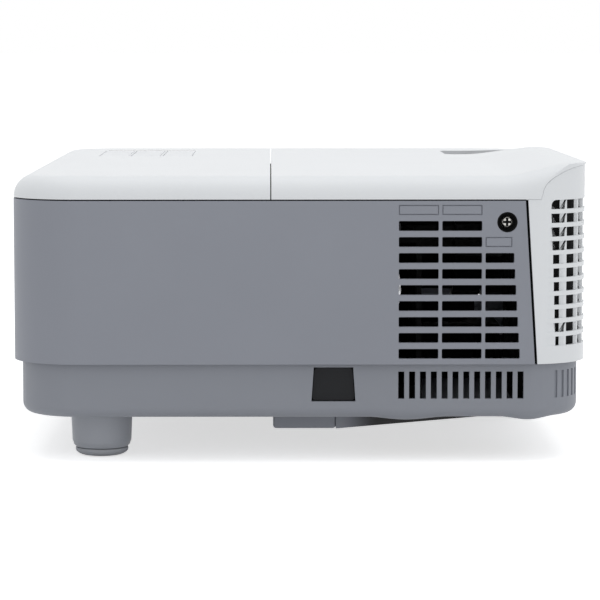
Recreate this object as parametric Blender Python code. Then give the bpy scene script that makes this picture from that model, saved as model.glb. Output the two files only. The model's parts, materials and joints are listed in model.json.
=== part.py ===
"""Compact desktop projector with a side exhaust, a lamp cover and a rear connector panel.

Metres, +Z up. The origin is the middle of the footprint on the desk. -Y is the front, -X the
side with the exhaust vents, +X the side with the lens and the loudspeaker.
"""
import math

import bmesh
import bpy
from mathutils import Matrix, Vector

# Body envelope
BODY_WIDTH = 0.294
BODY_DEPTH = 0.218
NEAR_X = -BODY_WIDTH / 2
FAR_X = BODY_WIDTH / 2
FRONT_Y = -BODY_DEPTH / 2
REAR_Y = BODY_DEPTH / 2
TOP_Z = 0.108
FRONT_CORNER_R = 0.024
REAR_CORNER_R = 0.026
WALL = 0.0022
SHOULDER_R = 0.0090

# Lift of the lamp cover's front edge, which dies out towards the lens side
SWELL = 0.0050
SWELL_START_INSET = 0.0330
SWELL_START_Y = FRONT_Y + SWELL_START_INSET
SWELL_FULL_INSET = 0.0050
SWELL_FULL_Y = FRONT_Y + SWELL_FULL_INSET
SWELL_FAR_START_INSET = 0.1370
SWELL_FAR_START_X = FAR_X - SWELL_FAR_START_INSET
SWELL_FAR_END_INSET = 0.0190
SWELL_FAR_END_X = FAR_X - SWELL_FAR_END_INSET

# The shoulder sharpens into a lip along the front
SHARP_START_INSET = 0.0210
SHARP_START_Y = FRONT_Y + SHARP_START_INSET
SHARP_FULL_INSET = 0.0070
SHARP_FULL_Y = FRONT_Y + SHARP_FULL_INSET
SHARP_SHARE = 0.1

# Heights of the casing joints, from the desk
TUB_BOTTOM_Z = 0.0170
TUB_RIM_Z = 0.0377
COVER_HEIGHT = 0.0093
SEAM_Z = TOP_Z - COVER_HEIGHT
TUB_INSET = 0.0036
TUB_BASE_CHAMFER = 0.0035
TUB_FLOOR = 0.0024
RIM_FLANGE_WIDTH = 0.0080
RIM_FLANGE_HEIGHT = 0.0020

# Clearances
GAP = 0.0003
SEAM_GAP = 0.0004
BEZEL_GAP = 0.0007
BEZEL_INSET = 0.0004
BEZEL_WALL = 0.0016
RUN_GAP = 0.0005
OVERRUN = 0.0040
UNION_BITE = 0.0005

# Joint between the top cover and the lamp cover
REAR_COVER_LENGTH = 0.0980
COVER_JOINT_Y = REAR_Y - REAR_COVER_LENGTH

# Slanted joint between the grey side wall and the white bezel
SLANT_TOP_INSET = 0.0249
SLANT_TOP_Y = FRONT_Y + SLANT_TOP_INSET
SLANT_BOTTOM_INSET = 0.0210
SLANT_BOTTOM_Y = FRONT_Y + SLANT_BOTTOM_INSET

# Curved joint between the bezel and the lamp cover, as shares of its run and its rise
CURVE_START_INSET = 0.0190
CURVE_START_Y = FRONT_Y + CURVE_START_INSET
CURVE_END_INSET = 0.0003
CURVE_END_Y = FRONT_Y + CURVE_END_INSET
LIP = 0.0010
CURVE_RUN_SHARES = (0, 0.06, 0.18, 0.36, 0.60, 1)
CURVE_RISE_SHARES = (0, 0.33, 0.55, 0.72, 0.88, 1)

# Steps of round stretches
CORNER_STEPS = 6
SHOULDER_STEPS = 4
SIDE_STEPS = 5
END_STEPS = 8
ROUND_SIDES = 24
SMALL_SIDES = 12
SWITCH_SIDES = 6
SKIN_RING_SHARES = (0.165, 0.33, 0.60, 0.90)
LINING_RING_SHARES = (0.22, 0.55, 0.90)
LINING_STEPS = 2
SMOOTH_ANGLE = math.radians(35)

# Exhaust vents of the near side wall
VENT_PITCH = 0.0060
VENT_HEIGHT = 0.0035
VENT_SILL = 0.0015
VENT_TOP_DROP = 0.0092
VENT_TOP_Z = SEAM_Z - VENT_TOP_DROP
VENT_ROWS = 1 + int((VENT_TOP_Z - VENT_HEIGHT / 2 - TUB_RIM_Z - VENT_SILL) / VENT_PITCH)
VENT_COLUMNS = 3
VENT_FIRST_INSET = 0.0722
VENT_FIRST_Y = FRONT_Y + VENT_FIRST_INSET
VENT_WIDTH = 0.0144
VENT_COLUMN_PITCH = 0.0161
VENT_SLANT_MARGIN = 0.0055
SHORT_COLUMN_SKIPS = 2

# Intake slots of the far side wall, in front of the loudspeaker
INTAKE_SILL = 0.0070
INTAKE_TOP_DROP = 0.0157
INTAKE_TOP_Z = SEAM_Z - INTAKE_TOP_DROP
INTAKE_ROWS = 1 + int((INTAKE_TOP_Z - VENT_HEIGHT / 2 - TUB_RIM_Z - INTAKE_SILL) / VENT_PITCH)
INTAKE_COLUMNS = 3
INTAKE_FIRST_INSET = 0.0790
INTAKE_FIRST_Y = FRONT_Y + INTAKE_FIRST_INSET
INTAKE_WIDTH = 0.0190
INTAKE_COLUMN_PITCH = 0.0230

# Upright slots of the lower case
TUB_SLOTS = 12
TUB_SLOT_PITCH = 0.00408
TUB_SLOT_WIDTH = 0.0023
TUB_SLOT_FIRST_INSET = 0.0710
TUB_SLOT_FIRST_Y = FRONT_Y + TUB_SLOT_FIRST_INSET
TUB_SLOT_LOW_Z = 0.0242
TUB_SLOT_HIGH_Z = 0.0345

# Dark trapezoid insert over the security bar
BAR_COVER_INSET = 0.0965
BAR_COVER_Y = FRONT_Y + BAR_COVER_INSET
BAR_COVER_TOP_WIDTH = 0.0144
BAR_COVER_BASE_WIDTH = 0.0160
BAR_COVER_LOW_Z = 0.0235
BAR_COVER_HIGH_Z = 0.0358
BAR_COVER_THICKNESS = 0.0014
BAR_COVER_RECESS = 0.0006
BAR_COVER_LAP = 0.0008

# Block and ramp under the near side that carry the security bar
BLOCK_NEAR_INSET = 0.0190
BLOCK_NEAR_X = NEAR_X + BLOCK_NEAR_INSET
BLOCK_FAR_INSET = 0.0590
BLOCK_FAR_X = NEAR_X + BLOCK_FAR_INSET
BLOCK_REAR_INSET = 0.1192
BLOCK_REAR_Y = FRONT_Y + BLOCK_REAR_INSET
BLOCK_FRONT_INSET = 0.0952
BLOCK_FRONT_Y = FRONT_Y + BLOCK_FRONT_INSET
BLOCK_BOTTOM_Z = 0.0108
RAMP_END_INSET = 0.0230
RAMP_END_Y = FRONT_Y + RAMP_END_INSET

# Grid exhaust of the bezel
GRID_SILL = 0.0060
GRID_TOP_DROP = 0.0014
GRID_TOP_Z = SEAM_Z - GRID_TOP_DROP
GRID_ROW_PITCH = 0.00514
GRID_CELL_HEIGHT = 0.0035
GRID_COLUMNS = 10
GRID_ROWS = 1 + int((GRID_TOP_Z - GRID_CELL_HEIGHT / 2 - TUB_RIM_Z - GRID_SILL) / GRID_ROW_PITCH)
GRID_FIRST_INSET = 0.0066
GRID_FIRST_X = NEAR_X + GRID_FIRST_INSET
GRID_COLUMN_PITCH = 0.0060
GRID_CELL_WIDTH = 0.0052
GRID_REAR_INSET = 0.0190
GRID_REAR_Y = FRONT_Y + GRID_REAR_INSET
GRID_CORNER_TOP_INSET = 0.0150
GRID_CORNER_TOP_Y = FRONT_Y + GRID_CORNER_TOP_INSET
GRID_CORNER_BASE_INSET = 0.0131
GRID_CORNER_BASE_Y = FRONT_Y + GRID_CORNER_BASE_INSET

# Screw that holds the lamp cover
SCREW_INSET = 0.0317
SCREW_Y = FRONT_Y + SCREW_INSET
SCREW_DROP = 0.0078
SCREW_Z = SEAM_Z - SCREW_DROP
SCREW_HEAD_R = 0.0026
SCREW_HEAD_LENGTH = 0.0019
SCREW_SHANK_R = 0.0014
SCREW_SHANK_LENGTH = 0.0090
SCREW_CUP_R = 0.0038
SCREW_CUP_DEPTH = 0.0036
SCREW_CUP_WALL = 0.0015
SCREW_SLOT_WIDTH = 0.0009
SCREW_SLOT_LENGTH = 0.0036
SCREW_SLOT_DEPTH = 0.0008
TAB_THICKNESS = 0.0020
TAB_WIDTH = 0.0120
TAB_DROP = 0.0030

# Feet
REAR_FOOT_SIDE_INSET = 0.0270
REAR_FOOT_X = FAR_X - REAR_FOOT_SIDE_INSET
REAR_FOOT_INSET = 0.0330
REAR_FOOT_Y = REAR_Y - REAR_FOOT_INSET
FRONT_FOOT_X = -0.0080
FRONT_FOOT_INSET = 0.0155
FRONT_FOOT_Y = FRONT_Y + FRONT_FOOT_INSET
FOOT_TOP_R = 0.0113
FOOT_BASE_R = 0.0105
FOOT_CHAMFER = 0.0012
FOOT_STEM_R = 0.0040
FOOT_STEM_LENGTH = 0.0160
FOOT_PIVOT_R = 0.0025
FOOT_PIVOT_LENGTH = 0.0035
PAD_R = 0.0096
PAD_HEIGHT = 0.0030
PAD_EDGE = 0.0012
FOOT_SOCKET_WALL = 0.0040
FOOT_SOCKET_TOP_Z = 0.0345

# Ceiling mount bosses, at shares of the half width and the half depth
BOSS_R = 0.0065
BOSS_DROP = 0.0012
BOSS_HOLE_R = 0.0018
BOSS_HOLE_DEPTH = 0.0030
BOSS_PLACE_SHARES = ((-0.48, 0.55), (0.48, 0.18), (0.58, -0.64))

# Lens and its rings
LENS_SIDE_INSET = 0.0620
LENS_X = FAR_X - LENS_SIDE_INSET
LENS_DROP = 0.0380
LENS_Z = TOP_Z - LENS_DROP
BARREL_R = 0.0240
BARREL_BORE_R = 0.0222
BARREL_REAR_INSET = 0.0724
BARREL_REAR_Y = FRONT_Y + BARREL_REAR_INSET
BARREL_FRONT_INSET = 0.0050
BARREL_FRONT_Y = FRONT_Y + BARREL_FRONT_INSET
BARREL_FLANGE_R = 0.0300
BARREL_FLANGE_LENGTH = 0.0030
ZOOM_RING_INSET = 0.0380
ZOOM_RING_REAR_Y = FRONT_Y + ZOOM_RING_INSET
ZOOM_RING_LENGTH = 0.0120
ZOOM_RING_R = 0.0275
FOCUS_RING_INSET = 0.0240
FOCUS_RING_REAR_Y = FRONT_Y + FOCUS_RING_INSET
FOCUS_RING_LENGTH = 0.0140
FOCUS_RING_R = 0.0282
LEVER_WIDTH = 0.0060
LEVER_DEPTH = 0.0040
LEVER_HEIGHT = 0.0080
RING_RIBS = 24
RIB_DEPTH = 0.0006
LENS_GLASS_R = 0.0212
LENS_GLASS_INSET = 0.0140
LENS_GLASS_REAR_Y = FRONT_Y + LENS_GLASS_INSET
LENS_GLASS_EDGE = 0.0030
LENS_GLASS_BULGE = 0.0028
LENS_SEAT_LENGTH = 0.0020
LENS_SEAT_DEPTH = 0.0018
LENS_PORT_R = 0.0300
HOOD_WALL = 0.0016
HOOD_LENGTH = 0.0022

# Opening of the lamp cover over the rings
RING_PORT_HALF_WIDTH = 0.0200
RING_PORT_SKIRT_WALL = 0.0014
RING_PORT_SKIRT_DROP = 0.0080
RING_PORT_FRONT_INSET = 0.0085
RING_PORT_FRONT_Y = FRONT_Y + RING_PORT_FRONT_INSET
RING_PORT_REAR_INSET = 0.0420
RING_PORT_REAR_Y = FRONT_Y + RING_PORT_REAR_INSET

# Remote sensor window of the bezel
SENSOR_LENS_PITCH = 0.0650
SENSOR_X = LENS_X - SENSOR_LENS_PITCH
SENSOR_RISE = 0.0020
SENSOR_Z = LENS_Z + SENSOR_RISE
SENSOR_WIDTH = 0.0240
SENSOR_HEIGHT = 0.0130
SENSOR_THICKNESS = 0.0016
SENSOR_RECESS = 0.0004
SENSOR_LAP = 0.0010

# Optical engine
ENGINE_HALF_WIDTH = 0.0370
ENGINE_REAR_INSET = 0.1230
ENGINE_REAR_Y = FRONT_Y + ENGINE_REAR_INSET
ENGINE_DROP = 0.0080
ENGINE_TOP_Z = TOP_Z - ENGINE_DROP
ENGINE_WALL = 0.0040
PORT_R = 0.0070
BOARD = 0.0016
IMAGER_BOARD_HALF_WIDTH = 0.0300
IMAGER_BOARD_LOW_Z = 0.0300
IMAGER_BOARD_DROP = 0.0160
IMAGER_BOARD_HIGH_Z = TOP_Z - IMAGER_BOARD_DROP
SINK_HALF_WIDTH = 0.0200
SINK_BASE = 0.0040
SINK_DEPTH = 0.0180
SINK_FIN = 0.0014
SINK_FINS = 7
SINK_LOW_Z = 0.0450
SINK_DROP = 0.0230
SINK_HIGH_Z = TOP_Z - SINK_DROP

# Light path along X from the lamp to the engine
LAMP_INSET = 0.0890
LAMP_Y = FRONT_Y + LAMP_INSET
LAMP_Z = 0.0580
TUNNEL_SIZE = 0.0100
TUNNEL_WALL = 0.0016
TUNNEL_NEAR_REACH = 0.1210
TUNNEL_NEAR_X = LENS_X - TUNNEL_NEAR_REACH
TUNNEL_POST_REACH = 0.0790
TUNNEL_POST_X = LENS_X - TUNNEL_POST_REACH
TUNNEL_POST_WIDTH = 0.0060
WHEEL_REACH = 0.1270
WHEEL_X = LENS_X - WHEEL_REACH
WHEEL_R = 0.0200
WHEEL_THICKNESS = 0.0012
WHEEL_DROP = 0.0155
WHEEL_HUB_R = 0.0060
WHEEL_HUB_LENGTH = 0.0022
MOTOR_R = 0.0085
MOTOR_LENGTH = 0.0090
MOTOR_SHAFT_R = 0.0015
MOTOR_FOOT_WIDTH = 0.0100

# Lamp module
LAMP_BOX_INSET = 0.0310
LAMP_BOX_NEAR_X = NEAR_X + LAMP_BOX_INSET
LAMP_BOX_WHEEL_GAP = 0.0100
LAMP_BOX_FAR_X = WHEEL_X - LAMP_BOX_WHEEL_GAP
LAMP_BOX_HALF_DEPTH = 0.0270
LAMP_BOX_DROP = 0.0157
LAMP_BOX_TOP_Z = SEAM_Z - LAMP_BOX_DROP
LAMP_BOX_WALL = 0.0020
LAMP_FLOOR_HEIGHT = 0.0060
REFLECTOR_R = 0.0205
REFLECTOR_NECK_R = 0.0070
REFLECTOR_WALL = 0.0014
REFLECTOR_LENGTH = 0.0320
REFLECTOR_NECK_LENGTH = 0.0080
REFLECTOR_RIM_LENGTH = 0.0015
REFLECTOR_STEPS = 5
BURNER_STEM_R = 0.0035
BURNER_BULB_R = 0.0050
BURNER_BULB_LENGTH = 0.0120
BURNER_TIP_LENGTH = 0.0080
HANDLE_BAR = 0.0030
HANDLE_REACH = 0.0170
HANDLE_HALF_SPAN = 0.0200
HANDLE_PIN_R = 0.0012
HANDLE_EAR_WIDTH = 0.0030
HANDLE_EAR_LENGTH = 0.0060

# Exhaust fan behind the grid
FAN_SIZE = 0.0700
FAN_SIDE_INSET = 0.0160
FAN_NEAR_X = NEAR_X + FAN_SIDE_INSET
FAN_INSET = 0.0110
FAN_FRONT_Y = FRONT_Y + FAN_INSET
FAN_THICKNESS = 0.0150
FAN_BORE_R = 0.0325
FAN_HUB_R = 0.0120
FAN_HUB_PLATE = 0.0020
FAN_BLADES = 7
FAN_BLADE_THICKNESS = 0.0012
FAN_BLADE_TWIST = math.radians(38)
FAN_TIP_GAP = 0.0012
FAN_PIN_R = 0.0015
FAN_STRUT_WIDTH = 0.0040

# Blower between the lamp and the lens
BLOWER_WHEEL_REACH = 0.0040
BLOWER_NEAR_X = WHEEL_X + BLOWER_WHEEL_REACH
BLOWER_INSET = 0.0255
BLOWER_FRONT_Y = FRONT_Y + BLOWER_INSET
BLOWER_SIZE = 0.0520
BLOWER_HEIGHT = 0.0220
BLOWER_WALL = 0.0016
BLOWER_INLET_R = 0.0150
BLOWER_WHEEL_R = 0.0200
BLOWER_BLADES = 10
BLOWER_HUB_R = 0.0080

# Boards
BOARD_SPACING = 0.0080
MAIN_BOARD_FAR_INSET = 0.0450
MAIN_BOARD_FAR_X = FAR_X - MAIN_BOARD_FAR_INSET
MAIN_BOARD_ENGINE_REACH = 0.0260
MAIN_BOARD_FRONT_Y = ENGINE_REAR_Y + MAIN_BOARD_ENGINE_REACH
MAIN_BOARD_REAR_INSET = 0.0250
MAIN_BOARD_REAR_Y = REAR_Y - MAIN_BOARD_REAR_INSET
MAIN_BOARD_Z = 0.0363
POWER_BOARD_SIDE_INSET = 0.0130
POWER_BOARD_NEAR_X = NEAR_X + POWER_BOARD_SIDE_INSET
POWER_BOARD_WHEEL_REACH = 0.0120
POWER_BOARD_FAR_X = WHEEL_X - POWER_BOARD_WHEEL_REACH
MAIN_BOARD_NEAR_X = POWER_BOARD_FAR_X + BOARD_SPACING
POWER_BOARD_LAMP_GAP = 0.0110
POWER_BOARD_FRONT_Y = LAMP_Y + LAMP_BOX_HALF_DEPTH + POWER_BOARD_LAMP_GAP
POWER_BOARD_REAR_INSET = 0.0290
POWER_BOARD_REAR_Y = REAR_Y - POWER_BOARD_REAR_INSET
POWER_BOARD_Z = 0.0363
POST_R = 0.0030
COIL_R = 0.0090
COIL_HEIGHT = 0.0180
COIL_PLACE_SHARES = (0.25, 0.55, 0.80)
CONNECTOR_BOARD_INSET = 0.0210
CONNECTOR_BOARD_Y = REAR_Y - CONNECTOR_BOARD_INSET
CONNECTOR_BOARD_DROP = 0.0067
CONNECTOR_BOARD_TOP_Z = SEAM_Z - CONNECTOR_BOARD_DROP

# Rear panel
PANEL_SIDE_INSET = 0.0300
PANEL_FAR_X = FAR_X - PANEL_SIDE_INSET
PANEL_LOW_Z = 0.0440
PANEL_DROP = 0.0087
PANEL_HIGH_Z = SEAM_Z - PANEL_DROP
PANEL_THICKNESS = 0.0014
PANEL_LAP = 0.0030
JACK_STAND = 0.0012
UPPER_ROW_DROP = 0.0130
UPPER_ROW_Z = PANEL_HIGH_Z - UPPER_ROW_DROP
LOWER_ROW_RISE = 0.0130
LOWER_ROW_Z = PANEL_LOW_Z + LOWER_ROW_RISE
SUB_WIDTH = 0.0310
SUB_HEIGHT = 0.0125
SUB_FACE_WIDTH = 0.0170
SUB_FACE_HEIGHT = 0.0085
SUB_DEPTH = 0.0050
COMPUTER_IN_B_INSET = 0.0270
COMPUTER_IN_B_X = PANEL_FAR_X - COMPUTER_IN_B_INSET
SERIAL_X = COMPUTER_IN_B_X
SUB_PITCH = 0.0400
COMPUTER_IN_A_X = COMPUTER_IN_B_X - SUB_PITCH
COMPUTER_OUT_X = SERIAL_X - SUB_PITCH
ROUND_JACK_R = 0.0050
ROUND_JACK_BORE_R = 0.0018
ROUND_JACK_DEPTH = 0.0080
AUDIO_OUT_REACH = 0.0400
AUDIO_OUT_X = COMPUTER_OUT_X - AUDIO_OUT_REACH
AUDIO_PITCH = 0.0180
AUDIO_IN_X = AUDIO_OUT_X - AUDIO_PITCH
VIDEO_PITCH = 0.0200
VIDEO_X = AUDIO_IN_X - VIDEO_PITCH
PANEL_MARGIN = 0.0420
PANEL_NEAR_X = VIDEO_X - PANEL_MARGIN
VIDEO_BORE_R = 0.0021
CIRCULAR_PORT_SHIFT = 0.0020
CIRCULAR_PORT_X = AUDIO_OUT_X + CIRCULAR_PORT_SHIFT
CIRCULAR_PORT_R = 0.0062
CIRCULAR_PORT_BORE_R = 0.0048
CIRCULAR_PORT_CORE_R = 0.0018
INLET_SIDE_INSET = 0.0450
INLET_X = NEAR_X + INLET_SIDE_INSET
INLET_Z = 0.0640
INLET_WIDTH = 0.0300
INLET_HEIGHT = 0.0230
INLET_DEPTH = 0.0200
INLET_FLANGE = 0.0020
INLET_LAP = 0.0024
INLET_BORE_WIDTH = 0.0240
INLET_BORE_HEIGHT = 0.0166
INLET_BORE_DEPTH = 0.0160

# Loudspeaker behind the intake slots
SPEAKER_INTAKE_REACH = 0.0440
SPEAKER_Y = INTAKE_FIRST_Y + SPEAKER_INTAKE_REACH
SPEAKER_Z = 0.0640
SPEAKER_R = 0.0200
SPEAKER_FLANGE = 0.0020
SPEAKER_CONE_DEPTH = 0.0080
SPEAKER_MAGNET_R = 0.0110
SPEAKER_DEPTH = 0.0140

# Keypad on the top cover
KEY_COLUMNS = 3
KEY_ROWS = 4
KEYPAD_SIDE_INSET = 0.1040
KEYPAD_NEAR_X = FAR_X - KEYPAD_SIDE_INSET
KEYPAD_REAR_INSET = 0.0640
KEYPAD_FRONT_Y = REAR_Y - KEYPAD_REAR_INSET
KEY_LENGTH_X = 0.0157
KEY_LENGTH_Y = 0.0140
KEY_LINE = 0.0014
KEY_HOLE_GAP = 0.0003
KEY_CAP = 0.0066
KEY_TRAVEL = 0.0006
SWITCH_R = 0.0020
SWITCH_HEIGHT = 0.0008
KEY_NAMES = (
    ("menu_key", "left_key", "source_key", "power_key"),
    ("down_key", "enter_key", "up_key", "volume_up_key"),
    ("auto_key", "right_key", "keystone_key", "volume_down_key"),
)
STATUS_WIDTH = 0.0050
STATUS_GAP = 0.0040
STATUS_LAP = 0.0010
STATUS_THICKNESS = 0.0020
KEYPAD_POST_R = 0.0020

# Places that follow from the sizes above
FLOOR_Z = TUB_BOTTOM_Z + TUB_FLOOR
MIDDLE_LOW_Z = TUB_RIM_Z + GAP
MIDDLE_HIGH_Z = SEAM_Z - GAP
BEZEL_BACK_Y = FRONT_Y + BEZEL_INSET + BEZEL_WALL
INNER_REAR_Y = REAR_Y - WALL
INNER_NEAR_X = NEAR_X + WALL
INNER_FAR_X = FAR_X - WALL
REST_Z = FLOOR_Z + GAP
HIGH_Z = TOP_Z + SWELL + OVERRUN

GREY = (0.235, 0.245, 0.275)
DARK = (0.02, 0.02, 0.022)

MATERIAL_VALUES = {
    "white_shell": ((0.84, 0.85, 0.86), 0.45, 0.0),
    "grey_shell": (GREY, 0.55, 0.0),
    "tub_grey": (GREY, 0.60, 0.0),
    "foot_grey": (GREY, 0.50, 0.0),
    "pad_rubber": ((0.18, 0.18, 0.19), 0.85, 0.0),
    "dark_plastic": (DARK, 0.50, 0.0),
    "lens_black": (DARK, 0.40, 0.0),
    "inner_black": (DARK, 0.70, 0.0),
    "key_plastic": ((0.70, 0.71, 0.73), 0.45, 0.0),
    "handle_plastic": ((0.55, 0.56, 0.58), 0.50, 0.0),
    "board_green": ((0.03, 0.16, 0.07), 0.60, 0.0),
    "sink_metal": ((0.62, 0.63, 0.65), 0.35, 1.0),
    "screw_steel": ((0.45, 0.45, 0.46), 0.35, 1.0),
    "port_metal": ((0.55, 0.55, 0.56), 0.30, 1.0),
    "clear_glass": ((0.75, 0.80, 0.85), 0.05, 0.0),
    "wheel_glass": ((0.55, 0.35, 0.60), 0.10, 0.0),
    "reflector": ((0.80, 0.80, 0.82), 0.08, 1.0),
    "jack_blue": ((0.03, 0.08, 0.35), 0.45, 0.0),
    "jack_yellow": ((0.70, 0.50, 0.02), 0.45, 0.0),
    "window_dark": ((0.03, 0.005, 0.01), 0.08, 0.0),
}


def clear_scene():
    """Remove the objects that the scene starts with."""
    for item in list(bpy.data.objects):
        bpy.data.objects.remove(item)


def material(name):
    """Return the material of that name, made once."""
    found = bpy.data.materials.get(name)
    if found:
        return found
    color, roughness, metallic = MATERIAL_VALUES[name]
    made = bpy.data.materials.new(name)
    made.use_nodes = True
    shader = made.node_tree.nodes["Principled BSDF"]
    shader.inputs["Base Color"].default_value = (*color, 1)
    shader.inputs["Roughness"].default_value = roughness
    shader.inputs["Metallic"].default_value = metallic
    return made


def new_object(name, shape, slot=None, origin=(0, 0, 0), smooth=False):
    """Turn a shape built in world places into an object whose origin is at the given place."""
    bmesh.ops.translate(shape, verts=shape.verts, vec=-Vector(origin))
    bmesh.ops.recalc_face_normals(shape, faces=shape.faces)
    mesh = bpy.data.meshes.new(name)
    shape.to_mesh(mesh)
    shape.free()
    made = bpy.data.objects.new(name, mesh)
    bpy.context.scene.collection.objects.link(made)
    made.location = origin
    if slot:
        mesh.materials.append(material(slot))
    if smooth:
        mesh.shade_smooth()
        mesh.set_sharp_from_angle(angle=SMOOTH_ANGLE)
    return made


def boolean(target, shape, operation, label):
    """Add an exact boolean with a hidden cutter; the shape may hold several separate bodies."""
    cutter = new_object(target.name + "_" + label, shape)
    cutter.hide_render = True
    cutter.display_type = "WIRE"
    step = target.modifiers.new(label, "BOOLEAN")
    step.operation = operation
    step.object = cutter
    step.solver = "EXACT"


def cut(target, shape, label):
    """Take a shape away from an object."""
    boolean(target, shape, "DIFFERENCE", label)


def join(target, shape, label):
    """Add a shape to an object."""
    boolean(target, shape, "UNION", label)


def place(axis, across, up, along):
    """World place of a point given across and up in the plane square to an axis."""
    if axis == "X":
        return Vector((along, across, up))
    if axis == "Y":
        return Vector((across, along, up))
    return Vector((across, up, along))


def add_prism(shape, outline, axis, low, high):
    """Extrude a closed outline, given in the plane square to the axis, from low to high."""
    verts = [shape.verts.new(place(axis, across, up, low)) for across, up in outline]
    face = shape.faces.new(verts)
    grown = bmesh.ops.extrude_face_region(shape, geom=[face])
    moved = [item for item in grown["geom"] if isinstance(item, bmesh.types.BMVert)]
    step = place(axis, 0, 0, high) - place(axis, 0, 0, low)
    bmesh.ops.translate(shape, verts=moved, vec=step)
    return shape


def add_box(shape, low, high):
    """Add a box between two corners."""
    outline = [(low[0], low[1]), (high[0], low[1]), (high[0], high[1]), (low[0], high[1])]
    return add_prism(shape, outline, "Z", low[2], high[2])


def box(low, high):
    """A new shape with one box."""
    return add_box(bmesh.new(), low, high)


def circle(across, up, radius, sides, turn=0):
    """Points of a circle in a plane."""
    points = []
    for step in range(sides):
        angle = turn + math.tau * step / sides
        points.append((across + radius * math.cos(angle), up + radius * math.sin(angle)))
    return points


def add_rod(shape, axis, centre, radius, low, high, sides=ROUND_SIDES):
    """Add a cylinder along an axis."""
    return add_prism(shape, circle(*centre, radius, sides), axis, low, high)


def rod(axis, centre, radius, low, high, sides=ROUND_SIDES):
    """A new shape with one cylinder."""
    return add_rod(bmesh.new(), axis, centre, radius, low, high, sides)


def turned(axis, centre, profile, sides=ROUND_SIDES):
    """Spin a profile of (radius, along) points about an axis; a closed profile makes a ring."""
    shape = bmesh.new()
    rings = []
    for radius, along in profile:
        if radius == 0:
            rings.append([shape.verts.new(place(axis, *centre, along))])
            continue
        spots = circle(*centre, radius, sides)
        rings.append([shape.verts.new(place(axis, across, up, along)) for across, up in spots])
    pairs = list(zip(rings, rings[1:]))
    if len(rings[0]) > 1 and len(rings[-1]) > 1:
        pairs.append((rings[-1], rings[0]))
    for first, second in pairs:
        for step in range(sides):
            after = (step + 1) % sides
            if len(first) == 1:
                shape.faces.new((first[0], second[step], second[after]))
            elif len(second) == 1:
                shape.faces.new((first[step], first[after], second[0]))
            else:
                shape.faces.new((first[step], first[after], second[after], second[step]))
    return shape


def spread(first, last, count):
    """Even places from first to last, both kept."""
    return [first + (last - first) * step / (count - 1) for step in range(count)]


def ease(value, start, end):
    """Smooth share from 0 at start to 1 at end."""
    share = min(1, max(0, (value - start) / (end - start)))
    return share * share * (3 - 2 * share)


def crest(x, y):
    """Height of the top skin: flat, with a lifted front edge on the exhaust side."""
    along = ease(y, SWELL_START_Y, SWELL_FULL_Y)
    across = 1 - ease(x, SWELL_FAR_START_X, SWELL_FAR_END_X)
    return TOP_Z + SWELL * along * across


def roundness(y):
    """Share of the full shoulder drop at a place along the depth."""
    return 1 - (1 - SHARP_SHARE) * ease(y, SHARP_START_Y, SHARP_FULL_Y)


def plan(inset):
    """Outline of the body seen from above, drawn in by an inset, with extra points between."""
    half_x = BODY_WIDTH / 2 - inset
    half_y = BODY_DEPTH / 2 - inset
    corners = (
        (-half_x, -half_y, FRONT_CORNER_R, math.pi, END_STEPS),
        (half_x, -half_y, FRONT_CORNER_R, 1.5 * math.pi, SIDE_STEPS),
        (half_x, half_y, REAR_CORNER_R, 0, END_STEPS),
        (-half_x, half_y, REAR_CORNER_R, 0.5 * math.pi, SIDE_STEPS),
    )
    arcs = []
    for corner_x, corner_y, full_r, start, _ in corners:
        radius = max(full_r - inset, WALL)
        centre_x = corner_x - math.copysign(radius, corner_x)
        centre_y = corner_y - math.copysign(radius, corner_y)
        arc = []
        for step in range(CORNER_STEPS + 1):
            angle = start + 0.5 * math.pi * step / CORNER_STEPS
            arc.append((centre_x + radius * math.cos(angle), centre_y + radius * math.sin(angle)))
        arcs.append(arc)
    points = []
    for number, arc in enumerate(arcs):
        points += arc
        following = arcs[(number + 1) % len(arcs)][0]
        steps = corners[number][4]
        for step in range(1, steps):
            share = step / steps
            points.append((arc[-1][0] + (following[0] - arc[-1][0]) * share,
                           arc[-1][1] + (following[1] - arc[-1][1]) * share))
    return points


def wall_ring(inset, wall, high):
    """Upright wall that follows the plan, with a flange inside its foot."""
    shape = bmesh.new()
    flange_top = MIDDLE_LOW_Z + RIM_FLANGE_HEIGHT
    inner = inset + wall
    section = ((inset, MIDDLE_LOW_Z), (inset, high), (inner, high), (inner, flange_top),
               (RIM_FLANGE_WIDTH, flange_top), (RIM_FLANGE_WIDTH, MIDDLE_LOW_Z))
    loops = []
    for depth, height in section:
        loops.append([shape.verts.new((x, y, height)) for x, y in plan(depth)])
    bridge(shape, loops, True)
    return shape


def bridge(shape, loops, closed):
    """Join loops of equal count with quads, and the last to the first if closed."""
    pairs = list(zip(loops, loops[1:]))
    if closed:
        pairs.append((loops[-1], loops[0]))
    for first, second in pairs:
        count = len(first)
        for step in range(count):
            after = (step + 1) % count
            shape.faces.new((first[step], first[after], second[after], second[step]))


def skin_loops(shape, depth, steps, ring_shares):
    """Loops of the top skin from the seam to the crown, drawn in by a depth.

    The last loops lie at shares of the half depth of the body.
    """
    loops = [[shape.verts.new((x, y, SEAM_Z)) for x, y in plan(depth)]]
    radius = SHOULDER_R - depth
    for step in range(steps + 1):
        angle = 0.5 * math.pi * step / steps
        inset = depth + radius * (1 - math.cos(angle))
        drop = radius * (1 - math.sin(angle))
        loop = []
        for x, y in plan(inset):
            loop.append(shape.verts.new((x, y, crest(x, y) - depth - drop * roundness(y))))
        loops.append(loop)
    for share in ring_shares:
        ring = plan(BODY_DEPTH / 2 * share)
        loops.append([shape.verts.new((x, y, crest(x, y) - depth)) for x, y in ring])
    return loops


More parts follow.
